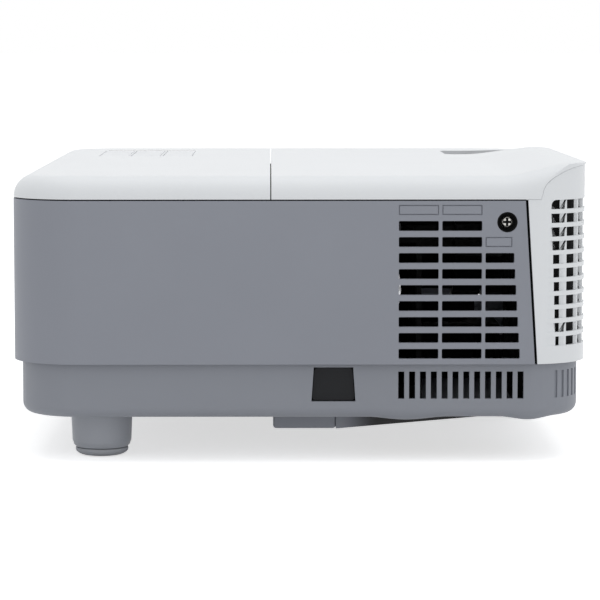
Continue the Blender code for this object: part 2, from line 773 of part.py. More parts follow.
def cover_shell():
    """Both upper covers as one bowl turned over."""
    shape = bmesh.new()
    outer = skin_loops(shape, 0, SHOULDER_STEPS, SKIN_RING_SHARES)
    inner = skin_loops(shape, WALL, LINING_STEPS, LINING_RING_SHARES)
    bridge(shape, outer, False)
    bridge(shape, inner, False)
    bridge(shape, [outer[0], inner[0]], False)
    shape.faces.new(outer[-1])
    shape.faces.new(inner[-1])
    bmesh.ops.triangulate(shape, faces=shape.faces)
    return shape


def slant_y(z):
    """Place of the slanted joint at a height."""
    share = (z - TUB_RIM_Z) / (SEAM_Z - TUB_RIM_Z)
    return SLANT_BOTTOM_Y + (SLANT_TOP_Y - SLANT_BOTTOM_Y) * share


def curve_points(x, shift):
    """Points (y, z) of the curved joint at a place across, moved forward and down by a shift."""
    rise = crest(x, SWELL_FULL_Y) - LIP - SEAM_Z
    points = []
    for run_share, rise_share in zip(CURVE_RUN_SHARES, CURVE_RISE_SHARES):
        y = CURVE_START_Y + (CURVE_END_Y - CURVE_START_Y) * run_share - shift
        points.append((y, SEAM_Z + rise * rise_share - shift))
    return points


def curved_cutter(above):
    """Region above the curved joint, or below and in front of it, across the whole width."""
    shape = bmesh.new()
    loops = []
    front = FRONT_Y - OVERRUN
    rear = SLANT_TOP_Y + RIM_FLANGE_WIDTH
    for x in spread(NEAR_X - OVERRUN, FAR_X + OVERRUN, END_STEPS * 3):
        points = curve_points(x, GAP if above else 0)
        if above:
            outline = [(rear, points[0][1])] + points
            outline += [(front, points[-1][1]), (front, HIGH_Z), (rear, HIGH_Z)]
        else:
            outline = points + [(front, points[-1][1]), (front, TUB_RIM_Z)]
            outline += [(points[0][0], TUB_RIM_Z)]
        loops.append([shape.verts.new((x, y, z)) for y, z in outline])
    bridge(shape, loops, False)
    shape.faces.new(loops[0])
    shape.faces.new(loops[-1])
    bmesh.ops.triangulate(shape, faces=shape.faces)
    return shape


def slant_cutter(front_side, gap):
    """Region in front of the slanted joint or behind it."""
    low = (slant_y(TUB_BOTTOM_Z) - gap, TUB_BOTTOM_Z)
    high = (slant_y(HIGH_Z) - gap, HIGH_Z)
    far = FRONT_Y - OVERRUN if front_side else REAR_Y + OVERRUN
    outline = [low, high, (far, HIGH_Z), (far, TUB_BOTTOM_Z)]
    return add_prism(bmesh.new(), outline, "X", NEAR_X - OVERRUN, FAR_X + OVERRUN)


def screw_cup_end_x():
    """Inner end of the cup that takes the screw head."""
    return NEAR_X + SCREW_CUP_DEPTH + SCREW_CUP_WALL


def foot_places():
    """Name, x and y of each foot."""
    return (
        ("near_rear_foot", -REAR_FOOT_X, REAR_FOOT_Y),
        ("far_rear_foot", REAR_FOOT_X, REAR_FOOT_Y),
        ("front_foot", FRONT_FOOT_X, FRONT_FOOT_Y),
    )


def boss_places():
    """x and y of each ceiling mount boss."""
    return [(BODY_WIDTH / 2 * across, BODY_DEPTH / 2 * along) for across, along in BOSS_PLACE_SHARES]


def board_posts():
    """x, y and board underside of each board post."""
    inner = 2 * POST_R
    places = []
    for x in (MAIN_BOARD_NEAR_X + inner, MAIN_BOARD_FAR_X - inner):
        for y in (MAIN_BOARD_FRONT_Y + inner, MAIN_BOARD_REAR_Y - inner):
            places.append((x, y, MAIN_BOARD_Z))
    for x in (POWER_BOARD_NEAR_X + inner, POWER_BOARD_FAR_X - inner):
        places.append((x, POWER_BOARD_FRONT_Y + inner, POWER_BOARD_Z))
    places.append((POWER_BOARD_FAR_X - inner, POWER_BOARD_REAR_Y - inner, POWER_BOARD_Z))
    return places


def bar_cover_outline(grow):
    """Trapezoid of the insert, grown all round."""
    top = BAR_COVER_TOP_WIDTH / 2 + grow
    base = BAR_COVER_BASE_WIDTH / 2 + grow
    low = BAR_COVER_LOW_Z - grow
    high = BAR_COVER_HIGH_Z + min(grow, TUB_RIM_Z - BAR_COVER_HIGH_Z)
    return [(BAR_COVER_Y - base, low), (BAR_COVER_Y + base, low),
            (BAR_COVER_Y + top, high), (BAR_COVER_Y - top, high)]


def build_bottom_case():
    """Lower case: a tray with foot sockets, board posts, ceiling bosses and side slots."""
    shape = bmesh.new()
    rings = ((TUB_INSET + TUB_BASE_CHAMFER, TUB_BOTTOM_Z), (TUB_INSET, TUB_BOTTOM_Z + TUB_BASE_CHAMFER),
             (TUB_INSET, TUB_RIM_Z), (TUB_INSET + WALL, TUB_RIM_Z),
             (TUB_INSET + WALL, FLOOR_Z + TUB_BASE_CHAMFER / 2),
             (TUB_INSET + TUB_BASE_CHAMFER, FLOOR_Z))
    loops = [[shape.verts.new((x, y, z)) for x, y in plan(inset)] for inset, z in rings]
    bridge(shape, loops, False)
    shape.faces.new(loops[0])
    shape.faces.new(loops[-1])
    case = new_object("bottom_case", shape, "tub_grey")

    added = bmesh.new()
    for _, x, y in foot_places():
        add_rod(added, "Z", (x, y), FOOT_STEM_R + RUN_GAP + FOOT_SOCKET_WALL,
                FLOOR_Z - UNION_BITE, FOOT_SOCKET_TOP_Z, SMALL_SIDES)
    for x, y, underside in board_posts():
        add_rod(added, "Z", (x, y), POST_R, FLOOR_Z - UNION_BITE, underside - GAP, SMALL_SIDES)
    for x, y in boss_places():
        add_rod(added, "Z", (x, y), BOSS_R, TUB_BOTTOM_Z - BOSS_DROP, TUB_BOTTOM_Z + UNION_BITE)
    outline = [(BLOCK_REAR_Y, BLOCK_BOTTOM_Z), (BLOCK_REAR_Y, TUB_BOTTOM_Z + UNION_BITE),
               (RAMP_END_Y, TUB_BOTTOM_Z + UNION_BITE), (RAMP_END_Y, TUB_BOTTOM_Z),
               (BLOCK_FRONT_Y, BLOCK_BOTTOM_Z)]
    add_prism(added, outline, "X", BLOCK_NEAR_X, BLOCK_FAR_X)
    join(case, added, "bosses")

    holes = bmesh.new()
    for _, x, y in foot_places():
        add_rod(holes, "Z", (x, y), FOOT_STEM_R + RUN_GAP, TUB_BOTTOM_Z - OVERRUN,
                FOOT_SOCKET_TOP_Z + OVERRUN, SMALL_SIDES)
    for x, y in boss_places():
        add_rod(holes, "Z", (x, y), BOSS_HOLE_R, TUB_BOTTOM_Z - BOSS_DROP - OVERRUN,
                TUB_BOTTOM_Z - BOSS_DROP + BOSS_HOLE_DEPTH, SMALL_SIDES)
    slot_depth = TUB_INSET + WALL + UNION_BITE
    for side in (-1, 1):
        edge = side * BODY_WIDTH / 2
        inner = edge - side * slot_depth
        low_x, high_x = sorted((edge, inner))
        for number in range(TUB_SLOTS):
            y = TUB_SLOT_FIRST_Y - number * TUB_SLOT_PITCH
            add_box(holes, (low_x, y - TUB_SLOT_WIDTH / 2, TUB_SLOT_LOW_Z),
                    (high_x, y + TUB_SLOT_WIDTH / 2, TUB_SLOT_HIGH_Z))
    add_prism(holes, bar_cover_outline(GAP), "X", NEAR_X, NEAR_X + slot_depth)
    cut(case, holes, "holes")


def build_bar_cover():
    """Dark trapezoid insert, set in from the wall, with a lap behind it."""
    face_x = NEAR_X + TUB_INSET + BAR_COVER_RECESS
    back_x = NEAR_X + TUB_INSET + WALL + GAP
    plug = add_prism(bmesh.new(), bar_cover_outline(0), "X", face_x, back_x + UNION_BITE)
    insert = new_object("security_bar_cover", plug, "dark_plastic")
    lap = add_prism(bmesh.new(), bar_cover_outline(BAR_COVER_LAP), "X", back_x,
                    back_x + BAR_COVER_THICKNESS)
    join(insert, lap, "lap")


def build_middle_case():
    """Grey wall of the sides and the rear, with vents, the screw cup and the rear windows."""
    case = new_object("middle_case", wall_ring(0, WALL, MIDDLE_HIGH_Z), "grey_shell")
    sleeve = rod("X", (SCREW_Y, SCREW_Z), SCREW_CUP_R + SCREW_CUP_WALL, NEAR_X + UNION_BITE,
                 screw_cup_end_x())
    join(case, sleeve, "screw_sleeve")
    cut(case, slant_cutter(True, 0), "front")

    holes = bmesh.new()
    for number in range(VENT_COLUMNS):
        last = number == VENT_COLUMNS - 1
        high_y = VENT_FIRST_Y - number * VENT_COLUMN_PITCH
        for row in range(SHORT_COLUMN_SKIPS if last else 0, VENT_ROWS):
            z = VENT_TOP_Z - row * VENT_PITCH
            low_y = slant_y(z) + VENT_SLANT_MARGIN if last else high_y - VENT_WIDTH
            add_box(holes, (NEAR_X - OVERRUN, low_y, z - VENT_HEIGHT / 2),
                    (INNER_NEAR_X + OVERRUN, high_y, z + VENT_HEIGHT / 2))
    for number in range(INTAKE_COLUMNS):
        low_y = INTAKE_FIRST_Y + number * INTAKE_COLUMN_PITCH
        for row in range(INTAKE_ROWS):
            z = INTAKE_TOP_Z - row * VENT_PITCH
            add_box(holes, (INNER_FAR_X - OVERRUN, low_y, z - VENT_HEIGHT / 2),
                    (FAR_X + OVERRUN, low_y + INTAKE_WIDTH, z + VENT_HEIGHT / 2))
    add_box(holes, (PANEL_NEAR_X, INNER_REAR_Y - OVERRUN, PANEL_LOW_Z),
            (PANEL_FAR_X, REAR_Y + OVERRUN, PANEL_HIGH_Z))
    add_box(holes, (INLET_X - INLET_WIDTH / 2 - GAP, INNER_REAR_Y - OVERRUN,
                    INLET_Z - INLET_HEIGHT / 2 - GAP),
            (INLET_X + INLET_WIDTH / 2 + GAP, REAR_Y + OVERRUN,
             INLET_Z + INLET_HEIGHT / 2 + GAP))
    cut(case, holes, "vents")
    cups = rod("X", (SCREW_Y, SCREW_Z), SCREW_CUP_R, NEAR_X - OVERRUN, NEAR_X + SCREW_CUP_DEPTH)
    cut(case, cups, "cup")
    bore = rod("X", (SCREW_Y, SCREW_Z), SCREW_SHANK_R + RUN_GAP, NEAR_X, NEAR_X + 2 * SCREW_CUP_R,
               SMALL_SIDES)
    cut(case, bore, "screw_bore")


def build_bezel():
    """White front wall with the grid exhaust, the lens port and the sensor window."""
    bezel = new_object("front_bezel", wall_ring(BEZEL_INSET, BEZEL_WALL, HIGH_Z - UNION_BITE),
                       "white_shell")
    hood = rod("Y", (LENS_X, LENS_Z), LENS_PORT_R + HOOD_WALL, BEZEL_BACK_Y - UNION_BITE,
               BEZEL_BACK_Y + HOOD_LENGTH)
    join(bezel, hood, "hood")
    cut(bezel, slant_cutter(False, BEZEL_GAP), "rear")
    cut(bezel, curved_cutter(True), "top")

    cells = bmesh.new()
    last_row = GRID_ROWS - 1
    for row in range(GRID_ROWS):
        z = GRID_TOP_Z - row * GRID_ROW_PITCH
        low_z = z - GRID_CELL_HEIGHT / 2
        high_z = z + GRID_CELL_HEIGHT / 2
        corner_y = GRID_CORNER_TOP_Y + (GRID_CORNER_BASE_Y - GRID_CORNER_TOP_Y) * row / last_row
        corner_x = GRID_FIRST_X - GRID_COLUMN_PITCH + GRID_CELL_WIDTH
        add_box(cells, (NEAR_X - OVERRUN, FRONT_Y - OVERRUN, low_z), (corner_x, corner_y, high_z))
        for column in range(GRID_COLUMNS):
            x = GRID_FIRST_X + column * GRID_COLUMN_PITCH
            add_box(cells, (x, FRONT_Y - OVERRUN, low_z), (x + GRID_CELL_WIDTH, GRID_REAR_Y, high_z))
    cut(bezel, cells, "grid")

    ports = rod("Y", (LENS_X, LENS_Z), LENS_PORT_R, FRONT_Y - OVERRUN,
                BEZEL_BACK_Y + HOOD_LENGTH + OVERRUN)
    half_x = SENSOR_WIDTH / 2 + GAP
    half_z = SENSOR_HEIGHT / 2 + GAP
    add_box(ports, (SENSOR_X - half_x, FRONT_Y - OVERRUN, SENSOR_Z - half_z),
            (SENSOR_X + half_x, BEZEL_BACK_Y + OVERRUN, SENSOR_Z + half_z))
    cut(bezel, ports, "ports")


def build_covers():
    """Rear top cover with the keypad holes, and the lamp cover with the ring port and its tab."""
    top = new_object("top_cover", cover_shell(), "white_shell", smooth=True)
    posts = bmesh.new()
    for x, y in keypad_posts():
        add_rod(posts, "Z", (x, y), KEYPAD_POST_R, keypad_board_top() + GAP,
                TOP_Z - WALL + UNION_BITE, SMALL_SIDES)
    join(top, posts, "posts")
    middle = COVER_JOINT_Y + SEAM_GAP / 2
    cut(top, box((NEAR_X - OVERRUN, FRONT_Y - OVERRUN, TUB_RIM_Z),
                 (FAR_X + OVERRUN, middle, HIGH_Z)), "front")
    holes = bmesh.new()
    for _, low, high in key_places():
        add_box(holes, (low[0] - KEY_HOLE_GAP, low[1] - KEY_HOLE_GAP, SEAM_Z),
                (high[0] + KEY_HOLE_GAP, high[1] + KEY_HOLE_GAP, HIGH_Z))
    low, high = status_place()
    add_box(holes, (low[0] - GAP, low[1] - GAP, SEAM_Z), (high[0] + GAP, high[1] + GAP, HIGH_Z))
    cut(top, holes, "key_holes")

    lamp = new_object("lamp_cover", cover_shell(), "white_shell", smooth=True)
    tab_near = screw_cup_end_x() + GAP
    tab = box((tab_near, SCREW_Y - TAB_WIDTH / 2, SCREW_Z - SCREW_SHANK_R - TAB_DROP),
              (tab_near + TAB_THICKNESS, SCREW_Y + TAB_WIDTH / 2, TOP_Z - WALL - UNION_BITE))
    join(lamp, tab, "tab")
    reach = RING_PORT_HALF_WIDTH + RING_PORT_SKIRT_WALL
    skirt = box((LENS_X - reach, RING_PORT_FRONT_Y - RING_PORT_SKIRT_WALL,
                 TOP_Z - RING_PORT_SKIRT_DROP),
                (LENS_X + reach, RING_PORT_REAR_Y + RING_PORT_SKIRT_WALL, TOP_Z - UNION_BITE))
    join(lamp, skirt, "skirt")
    cut(lamp, box((NEAR_X - OVERRUN, COVER_JOINT_Y - SEAM_GAP / 2, TUB_RIM_Z),
                  (FAR_X + OVERRUN, REAR_Y + OVERRUN, HIGH_Z)), "rear")
    cut(lamp, curved_cutter(False), "front")
    ports = box((LENS_X - RING_PORT_HALF_WIDTH, RING_PORT_FRONT_Y, SEAM_Z),
                (LENS_X + RING_PORT_HALF_WIDTH, RING_PORT_REAR_Y, HIGH_Z))
    slot = SCREW_SHANK_R + RUN_GAP
    add_box(ports, (tab_near - OVERRUN / 4, SCREW_Y - slot, TUB_RIM_Z),
            (tab_near + TAB_THICKNESS + OVERRUN, SCREW_Y + slot, SCREW_Z + slot))
    cut(lamp, ports, "ports")


def build_screw():
    """Cross-head screw that clamps the lamp cover's tab; it turns about X."""
    head_x = NEAR_X + SCREW_CUP_DEPTH - GAP
    centre = (SCREW_Y, SCREW_Z)
    profile = [(0, head_x - SCREW_HEAD_LENGTH), (SCREW_HEAD_R - SCREW_HEAD_LENGTH / 4,
               head_x - SCREW_HEAD_LENGTH), (SCREW_HEAD_R, head_x - SCREW_HEAD_LENGTH / 2),
               (SCREW_HEAD_R, head_x), (SCREW_SHANK_R, head_x),
               (SCREW_SHANK_R, head_x + SCREW_SHANK_LENGTH), (0, head_x + SCREW_SHANK_LENGTH)]
    shape = turned("X", centre, profile, SMALL_SIDES)
    screw = new_object("lamp_cover_screw", shape, "screw_steel",
                       (head_x, SCREW_Y, SCREW_Z), smooth=True)
    half = SCREW_SLOT_LENGTH / 2
    thin = SCREW_SLOT_WIDTH / 2
    outline = [(-thin, -half), (thin, -half), (thin, -thin), (half, -thin), (half, thin),
               (thin, thin), (thin, half), (-thin, half), (-thin, thin), (-half, thin),
               (-half, -thin), (-thin, -thin)]
    cross = [(SCREW_Y + across, SCREW_Z + up) for across, up in outline]
    face_x = head_x - SCREW_HEAD_LENGTH
    cut(screw, add_prism(bmesh.new(), cross, "X", face_x - OVERRUN, face_x + SCREW_SLOT_DEPTH),
        "cross")


def build_feet():
    """Three screw feet, each a leg that turns on its thread and a pad that stays still."""
    leg_low = PAD_HEIGHT + GAP
    leg_high = TUB_BOTTOM_Z - GAP
    for name, x, y in foot_places():
        pivot_top = leg_low + FOOT_PIVOT_LENGTH
        profile = [(0, pivot_top + GAP), (FOOT_PIVOT_R + RUN_GAP, pivot_top + GAP),
                   (FOOT_PIVOT_R + RUN_GAP, leg_low), (FOOT_BASE_R - FOOT_CHAMFER, leg_low),
                   (FOOT_BASE_R, leg_low + FOOT_CHAMFER), (FOOT_TOP_R, leg_high),
                   (FOOT_STEM_R, leg_high), (FOOT_STEM_R, leg_high + FOOT_STEM_LENGTH),
                   (0, leg_high + FOOT_STEM_LENGTH)]
        new_object(name, turned("Z", (x, y), profile), "foot_grey", (x, y, leg_low), smooth=True)
        profile = [(0, 0), (PAD_R - PAD_EDGE, 0), (PAD_R, PAD_EDGE), (PAD_R, PAD_HEIGHT),
                   (FOOT_PIVOT_R, PAD_HEIGHT), (FOOT_PIVOT_R, leg_low + FOOT_PIVOT_LENGTH),
                   (0, leg_low + FOOT_PIVOT_LENGTH)]
        new_object(name + "_pad", turned("Z", (x, y), profile), "pad_rubber", (x, y, 0),
                   smooth=True)


def build_lens():
    """Barrel on the engine, two turning rings and the front glass."""
    centre = (LENS_X, LENS_Z)
    zoom_front = ZOOM_RING_REAR_Y - ZOOM_RING_LENGTH
    focus_front = FOCUS_RING_REAR_Y - FOCUS_RING_LENGTH
    seat_y = LENS_GLASS_REAR_Y + GAP
    profile = [(BARREL_BORE_R, BARREL_FRONT_Y), (BARREL_R, BARREL_FRONT_Y),
               (BARREL_R, BARREL_REAR_Y - BARREL_FLANGE_LENGTH),
               (BARREL_FLANGE_R, BARREL_REAR_Y - BARREL_FLANGE_LENGTH),
               (BARREL_FLANGE_R, BARREL_REAR_Y),
               (BARREL_BORE_R, BARREL_REAR_Y), (BARREL_BORE_R, seat_y + LENS_SEAT_LENGTH),
               (BARREL_BORE_R - LENS_SEAT_DEPTH, seat_y + LENS_SEAT_LENGTH),
               (BARREL_BORE_R - LENS_SEAT_DEPTH, seat_y), (BARREL_BORE_R, seat_y)]
    new_object("lens_barrel", turned("Y", centre, profile), "lens_black", smooth=True)

    bore = BARREL_R + GAP
    shape = turned("Y", centre, [(bore, zoom_front), (ZOOM_RING_R, zoom_front),
                                 (ZOOM_RING_R, ZOOM_RING_REAR_Y), (bore, ZOOM_RING_REAR_Y)])
    origin = (LENS_X, ZOOM_RING_REAR_Y, LENS_Z)
    zoom = new_object("zoom_ring", shape, "lens_black", origin, smooth=True)
    middle = ZOOM_RING_REAR_Y - ZOOM_RING_LENGTH / 2
    lever = box((LENS_X - LEVER_WIDTH / 2, middle - LEVER_DEPTH / 2,
                 LENS_Z + ZOOM_RING_R - 2 * UNION_BITE),
                (LENS_X + LEVER_WIDTH / 2, middle + LEVER_DEPTH / 2,
                 LENS_Z + ZOOM_RING_R + LEVER_HEIGHT))
    join(zoom, lever, "lever")

    shape = turned("Y", centre, [(bore, focus_front), (FOCUS_RING_R, focus_front),
                                 (FOCUS_RING_R, FOCUS_RING_REAR_Y), (bore, FOCUS_RING_REAR_Y)],
                   2 * ROUND_SIDES)
    for vert in shape.verts:
        across = vert.co.x - LENS_X
        up = vert.co.z - LENS_Z
        step = round(math.atan2(up, across) / math.tau * 2 * RING_RIBS)
        if math.hypot(across, up) > (bore + FOCUS_RING_R) / 2 and step % 2:
            shrink = 1 - RIB_DEPTH / FOCUS_RING_R
            vert.co.x = LENS_X + across * shrink
            vert.co.z = LENS_Z + up * shrink
    new_object("focus_ring", shape, "lens_black", (LENS_X, FOCUS_RING_REAR_Y, LENS_Z))

    edge_front = LENS_GLASS_REAR_Y - LENS_GLASS_EDGE
    profile = [(0, LENS_GLASS_REAR_Y), (LENS_GLASS_R, LENS_GLASS_REAR_Y),
               (LENS_GLASS_R, edge_front)]
    for step in range(1, SHOULDER_STEPS):
        angle = 0.5 * math.pi * step / SHOULDER_STEPS
        profile.append((LENS_GLASS_R * math.cos(angle),
                        edge_front - LENS_GLASS_BULGE * math.sin(angle)))
    profile.append((0, edge_front - LENS_GLASS_BULGE))
    new_object("front_lens", turned("Y", centre, profile), "clear_glass", smooth=True)


def build_sensor():
    """Dark remote sensor window with a lap behind the bezel."""
    half_x = SENSOR_WIDTH / 2
    half_z = SENSOR_HEIGHT / 2
    back = BEZEL_BACK_Y + GAP
    window = new_object("remote_sensor_window",
                        box((SENSOR_X - half_x, FRONT_Y + BEZEL_INSET + SENSOR_RECESS,
                             SENSOR_Z - half_z),
                            (SENSOR_X + half_x, back + UNION_BITE, SENSOR_Z + half_z)),
                        "window_dark")
    lap = box((SENSOR_X - half_x - SENSOR_LAP, back, SENSOR_Z - half_z - SENSOR_LAP),
              (SENSOR_X + half_x + SENSOR_LAP, back + SENSOR_THICKNESS,
               SENSOR_Z + half_z + SENSOR_LAP))
    join(window, lap, "lap")


def build_engine():
    """Optical engine housing, imager board and its heat sink."""
    front = BARREL_REAR_Y + GAP
    low = (LENS_X - ENGINE_HALF_WIDTH, front, REST_Z)
    high = (LENS_X + ENGINE_HALF_WIDTH, ENGINE_REAR_Y, ENGINE_TOP_Z)
    housing = new_object("engine_housing", box(low, high), "inner_black")
    hollow = box([side + ENGINE_WALL for side in low], [side - ENGINE_WALL for side in high])
    cut(housing, hollow, "hollow")
    ports = rod("Y", (LENS_X, LENS_Z), BARREL_BORE_R, front - OVERRUN, front + 2 * OVERRUN)
    cut(housing, ports, "lens_port")
    side = rod("X", (LAMP_Y, LAMP_Z), PORT_R, low[0] - OVERRUN, low[0] + 2 * OVERRUN)
    cut(housing, side, "light_port")

    board_y = ENGINE_REAR_Y + GAP
    new_object("imager_board", box((LENS_X - IMAGER_BOARD_HALF_WIDTH, board_y, IMAGER_BOARD_LOW_Z),
                                   (LENS_X + IMAGER_BOARD_HALF_WIDTH, board_y + BOARD,
                                    IMAGER_BOARD_HIGH_Z)), "board_green")
    sink_y = board_y + BOARD + GAP
    comb = [(LENS_X - SINK_HALF_WIDTH, sink_y), (LENS_X + SINK_HALF_WIDTH, sink_y)]
    pitch = (2 * SINK_HALF_WIDTH - SINK_FIN) / (SINK_FINS - 1)
    for number in range(SINK_FINS):
        right = LENS_X + SINK_HALF_WIDTH - number * pitch
        left = right - SINK_FIN
        if number:
            comb.append((right, sink_y + SINK_BASE))
        comb += [(right, sink_y + SINK_DEPTH), (left, sink_y + SINK_DEPTH)]
        if number < SINK_FINS - 1:
            comb.append((left, sink_y + SINK_BASE))
    new_object("imager_heat_sink", add_prism(bmesh.new(), comb, "Z", SINK_LOW_Z, SINK_HIGH_Z),
               "sink_metal")


def build_light_path():
    """Colour wheel on its motor, and the light tunnel that leads into the engine."""
    wheel_z = LAMP_Z - WHEEL_DROP
    centre = (LAMP_Y, wheel_z)
    motor_x = WHEEL_X + WHEEL_HUB_LENGTH + RUN_GAP
    profile = [(0, WHEEL_X - WHEEL_THICKNESS), (MOTOR_SHAFT_R, WHEEL_X - WHEEL_THICKNESS),
               (MOTOR_SHAFT_R, motor_x), (MOTOR_R, motor_x), (MOTOR_R, motor_x + MOTOR_LENGTH),
               (0, motor_x + MOTOR_LENGTH)]
    motor = new_object("colour_wheel_motor", turned("X", centre, profile), "sink_metal",
                       smooth=True)
    foot = box((motor_x + MOTOR_LENGTH / 4, LAMP_Y - MOTOR_FOOT_WIDTH / 2, REST_Z),
               (motor_x + MOTOR_LENGTH * 3 / 4, LAMP_Y + MOTOR_FOOT_WIDTH / 2, wheel_z))
    join(motor, foot, "foot")
    bore = MOTOR_SHAFT_R + GAP
    profile = [(bore, WHEEL_X - WHEEL_THICKNESS), (WHEEL_R, WHEEL_X - WHEEL_THICKNESS),
               (WHEEL_R, WHEEL_X), (WHEEL_HUB_R, WHEEL_X), (WHEEL_HUB_R, WHEEL_X + WHEEL_HUB_LENGTH),
               (bore, WHEEL_X + WHEEL_HUB_LENGTH)]
    new_object("colour_wheel", turned("X", centre, profile), "wheel_glass",
               (WHEEL_X, LAMP_Y, wheel_z), smooth=True)

    half = TUNNEL_SIZE / 2
    inner = half - TUNNEL_WALL
    far_x = LENS_X - ENGINE_HALF_WIDTH - GAP
    tunnel = new_object("light_tunnel", box((TUNNEL_NEAR_X, LAMP_Y - half, LAMP_Z - half),
                                            (far_x, LAMP_Y + half, LAMP_Z + half)), "sink_metal")
    post = box((TUNNEL_POST_X, LAMP_Y - half, REST_Z),
               (TUNNEL_POST_X + TUNNEL_POST_WIDTH, LAMP_Y + half, LAMP_Z - half + UNION_BITE))
    join(tunnel, post, "post")
    cut(tunnel, box((TUNNEL_NEAR_X - OVERRUN, LAMP_Y - inner, LAMP_Z - inner),
                    (far_x + OVERRUN, LAMP_Y + inner, LAMP_Z + inner)), "bore")


def build_lamp():
    """Lamp module: box, reflector, burner and the folding handle on top."""
    front = LAMP_Y - LAMP_BOX_HALF_DEPTH
    rear = LAMP_Y + LAMP_BOX_HALF_DEPTH
    low = (LAMP_BOX_NEAR_X, front, REST_Z)
    high = (LAMP_BOX_FAR_X, rear, LAMP_BOX_TOP_Z)
    housing = new_object("lamp_housing", box(low, high), "inner_black")
    hinge_x = (LAMP_BOX_NEAR_X + LAMP_BOX_FAR_X) / 2 - HANDLE_REACH / 2
    hinge_z = LAMP_BOX_TOP_Z + GAP + HANDLE_BAR / math.sqrt(2)
    ear_half = HANDLE_HALF_SPAN - HANDLE_BAR - GAP
    ears = bmesh.new()
    for side in (-1, 1):
        low_y, high_y = sorted((LAMP_Y + side * ear_half,
                                LAMP_Y + side * (ear_half - HANDLE_EAR_WIDTH)))
        add_box(ears, (hinge_x - HANDLE_EAR_LENGTH / 2, low_y, LAMP_BOX_TOP_Z - UNION_BITE),
                (hinge_x + HANDLE_EAR_LENGTH / 2, high_y, hinge_z + HANDLE_BAR / 2))
    join(housing, ears, "ears")
    wall = LAMP_BOX_WALL
    hollow = box((low[0] - OVERRUN, low[1] + wall, low[2] + LAMP_FLOOR_HEIGHT),
                 (high[0] - wall, high[1] - wall, high[2] - wall))
    cut(housing, hollow, "hollow")
    mouth = rod("X", (LAMP_Y, LAMP_Z), REFLECTOR_R - REFLECTOR_WALL, high[0] - 2 * wall,
                high[0] + OVERRUN)
    cut(housing, mouth, "mouth")
    pins = bmesh.new()
    reach = HANDLE_HALF_SPAN - HANDLE_BAR - GAP - HANDLE_EAR_WIDTH
    for side in (-1, 1):
        low_y, high_y = sorted((LAMP_Y + side * (reach - OVERRUN),
                                LAMP_Y + side * (ear_half + OVERRUN)))
        add_rod(pins, "Y", (hinge_x, hinge_z), HANDLE_PIN_R + GAP, low_y, high_y, SMALL_SIDES)
    cut(housing, pins, "pin_holes")

    handle = bmesh.new()
    half = HANDLE_BAR / 2
    span = HANDLE_HALF_SPAN
    outline = [(hinge_x - half, LAMP_Y - span), (hinge_x + HANDLE_REACH, LAMP_Y - span),
               (hinge_x + HANDLE_REACH, LAMP_Y + span), (hinge_x - half, LAMP_Y + span),
               (hinge_x - half, LAMP_Y + span - HANDLE_BAR),
               (hinge_x + HANDLE_REACH - HANDLE_BAR, LAMP_Y + span - HANDLE_BAR),
               (hinge_x + HANDLE_REACH - HANDLE_BAR, LAMP_Y - span + HANDLE_BAR),
               (hinge_x - half, LAMP_Y - span + HANDLE_BAR)]
    add_prism(handle, outline, "Z", hinge_z - half, hinge_z + half)
    bail = new_object("lamp_handle", handle, "handle_plastic", (hinge_x, LAMP_Y, hinge_z))
    stubs = bmesh.new()
    for side in (-1, 1):
        low_y, high_y = sorted((LAMP_Y + side * (span - HANDLE_BAR + UNION_BITE),
                                LAMP_Y + side * (ear_half - HANDLE_EAR_WIDTH)))
        add_rod(stubs, "Y", (hinge_x, hinge_z), HANDLE_PIN_R, low_y, high_y, SMALL_SIDES)
    join(bail, stubs, "stubs")

    centre = (LAMP_Y, LAMP_Z)
    mouth_x = high[0] - wall - GAP
    deep_x = mouth_x - REFLECTOR_LENGTH
    outer = []
    inner = []
    for step in range(REFLECTOR_STEPS + 1):
        share = step / REFLECTOR_STEPS
        spread_r = REFLECTOR_NECK_R + (REFLECTOR_R - REFLECTOR_NECK_R) * math.sqrt(share)
        x = deep_x + (REFLECTOR_LENGTH - REFLECTOR_RIM_LENGTH) * share
        outer.append((spread_r, x))
        inner.append((spread_r - REFLECTOR_WALL, x + REFLECTOR_RIM_LENGTH * share))
    neck_x = deep_x - REFLECTOR_NECK_LENGTH
    bore = REFLECTOR_NECK_R - REFLECTOR_WALL
    rim_r = min(REFLECTOR_R + REFLECTOR_WALL, LAMP_BOX_HALF_DEPTH - wall - GAP)
    profile = [(bore, neck_x), (REFLECTOR_NECK_R, neck_x)] + outer
    profile += [(rim_r, outer[-1][1]), (rim_r, mouth_x)] + list(reversed(inner))
    new_object("lamp_reflector", turned("X", centre, profile), "reflector", smooth=True)

    bulb_x = deep_x + BURNER_TIP_LENGTH
    stem = min(BURNER_STEM_R, bore - GAP)
    seat = bore - GAP
    profile = [(0, neck_x - OVERRUN), (seat, neck_x - OVERRUN), (seat, neck_x + OVERRUN),
               (stem, neck_x + OVERRUN), (stem, deep_x)]
    for step in range(1, SHOULDER_STEPS):
        angle = math.pi * step / SHOULDER_STEPS
        profile.append((max(stem, BURNER_BULB_R * math.sin(angle)),
                        bulb_x - BURNER_BULB_LENGTH / 2 * math.cos(angle)))
    tip_x = bulb_x + BURNER_BULB_LENGTH / 2
    profile += [(stem / 2, tip_x), (stem / 2, tip_x + BURNER_TIP_LENGTH / 2),
                (0, tip_x + BURNER_TIP_LENGTH / 2)]
    new_object("lamp_burner", turned("X", centre, profile, SMALL_SIDES), "clear_glass", smooth=True)


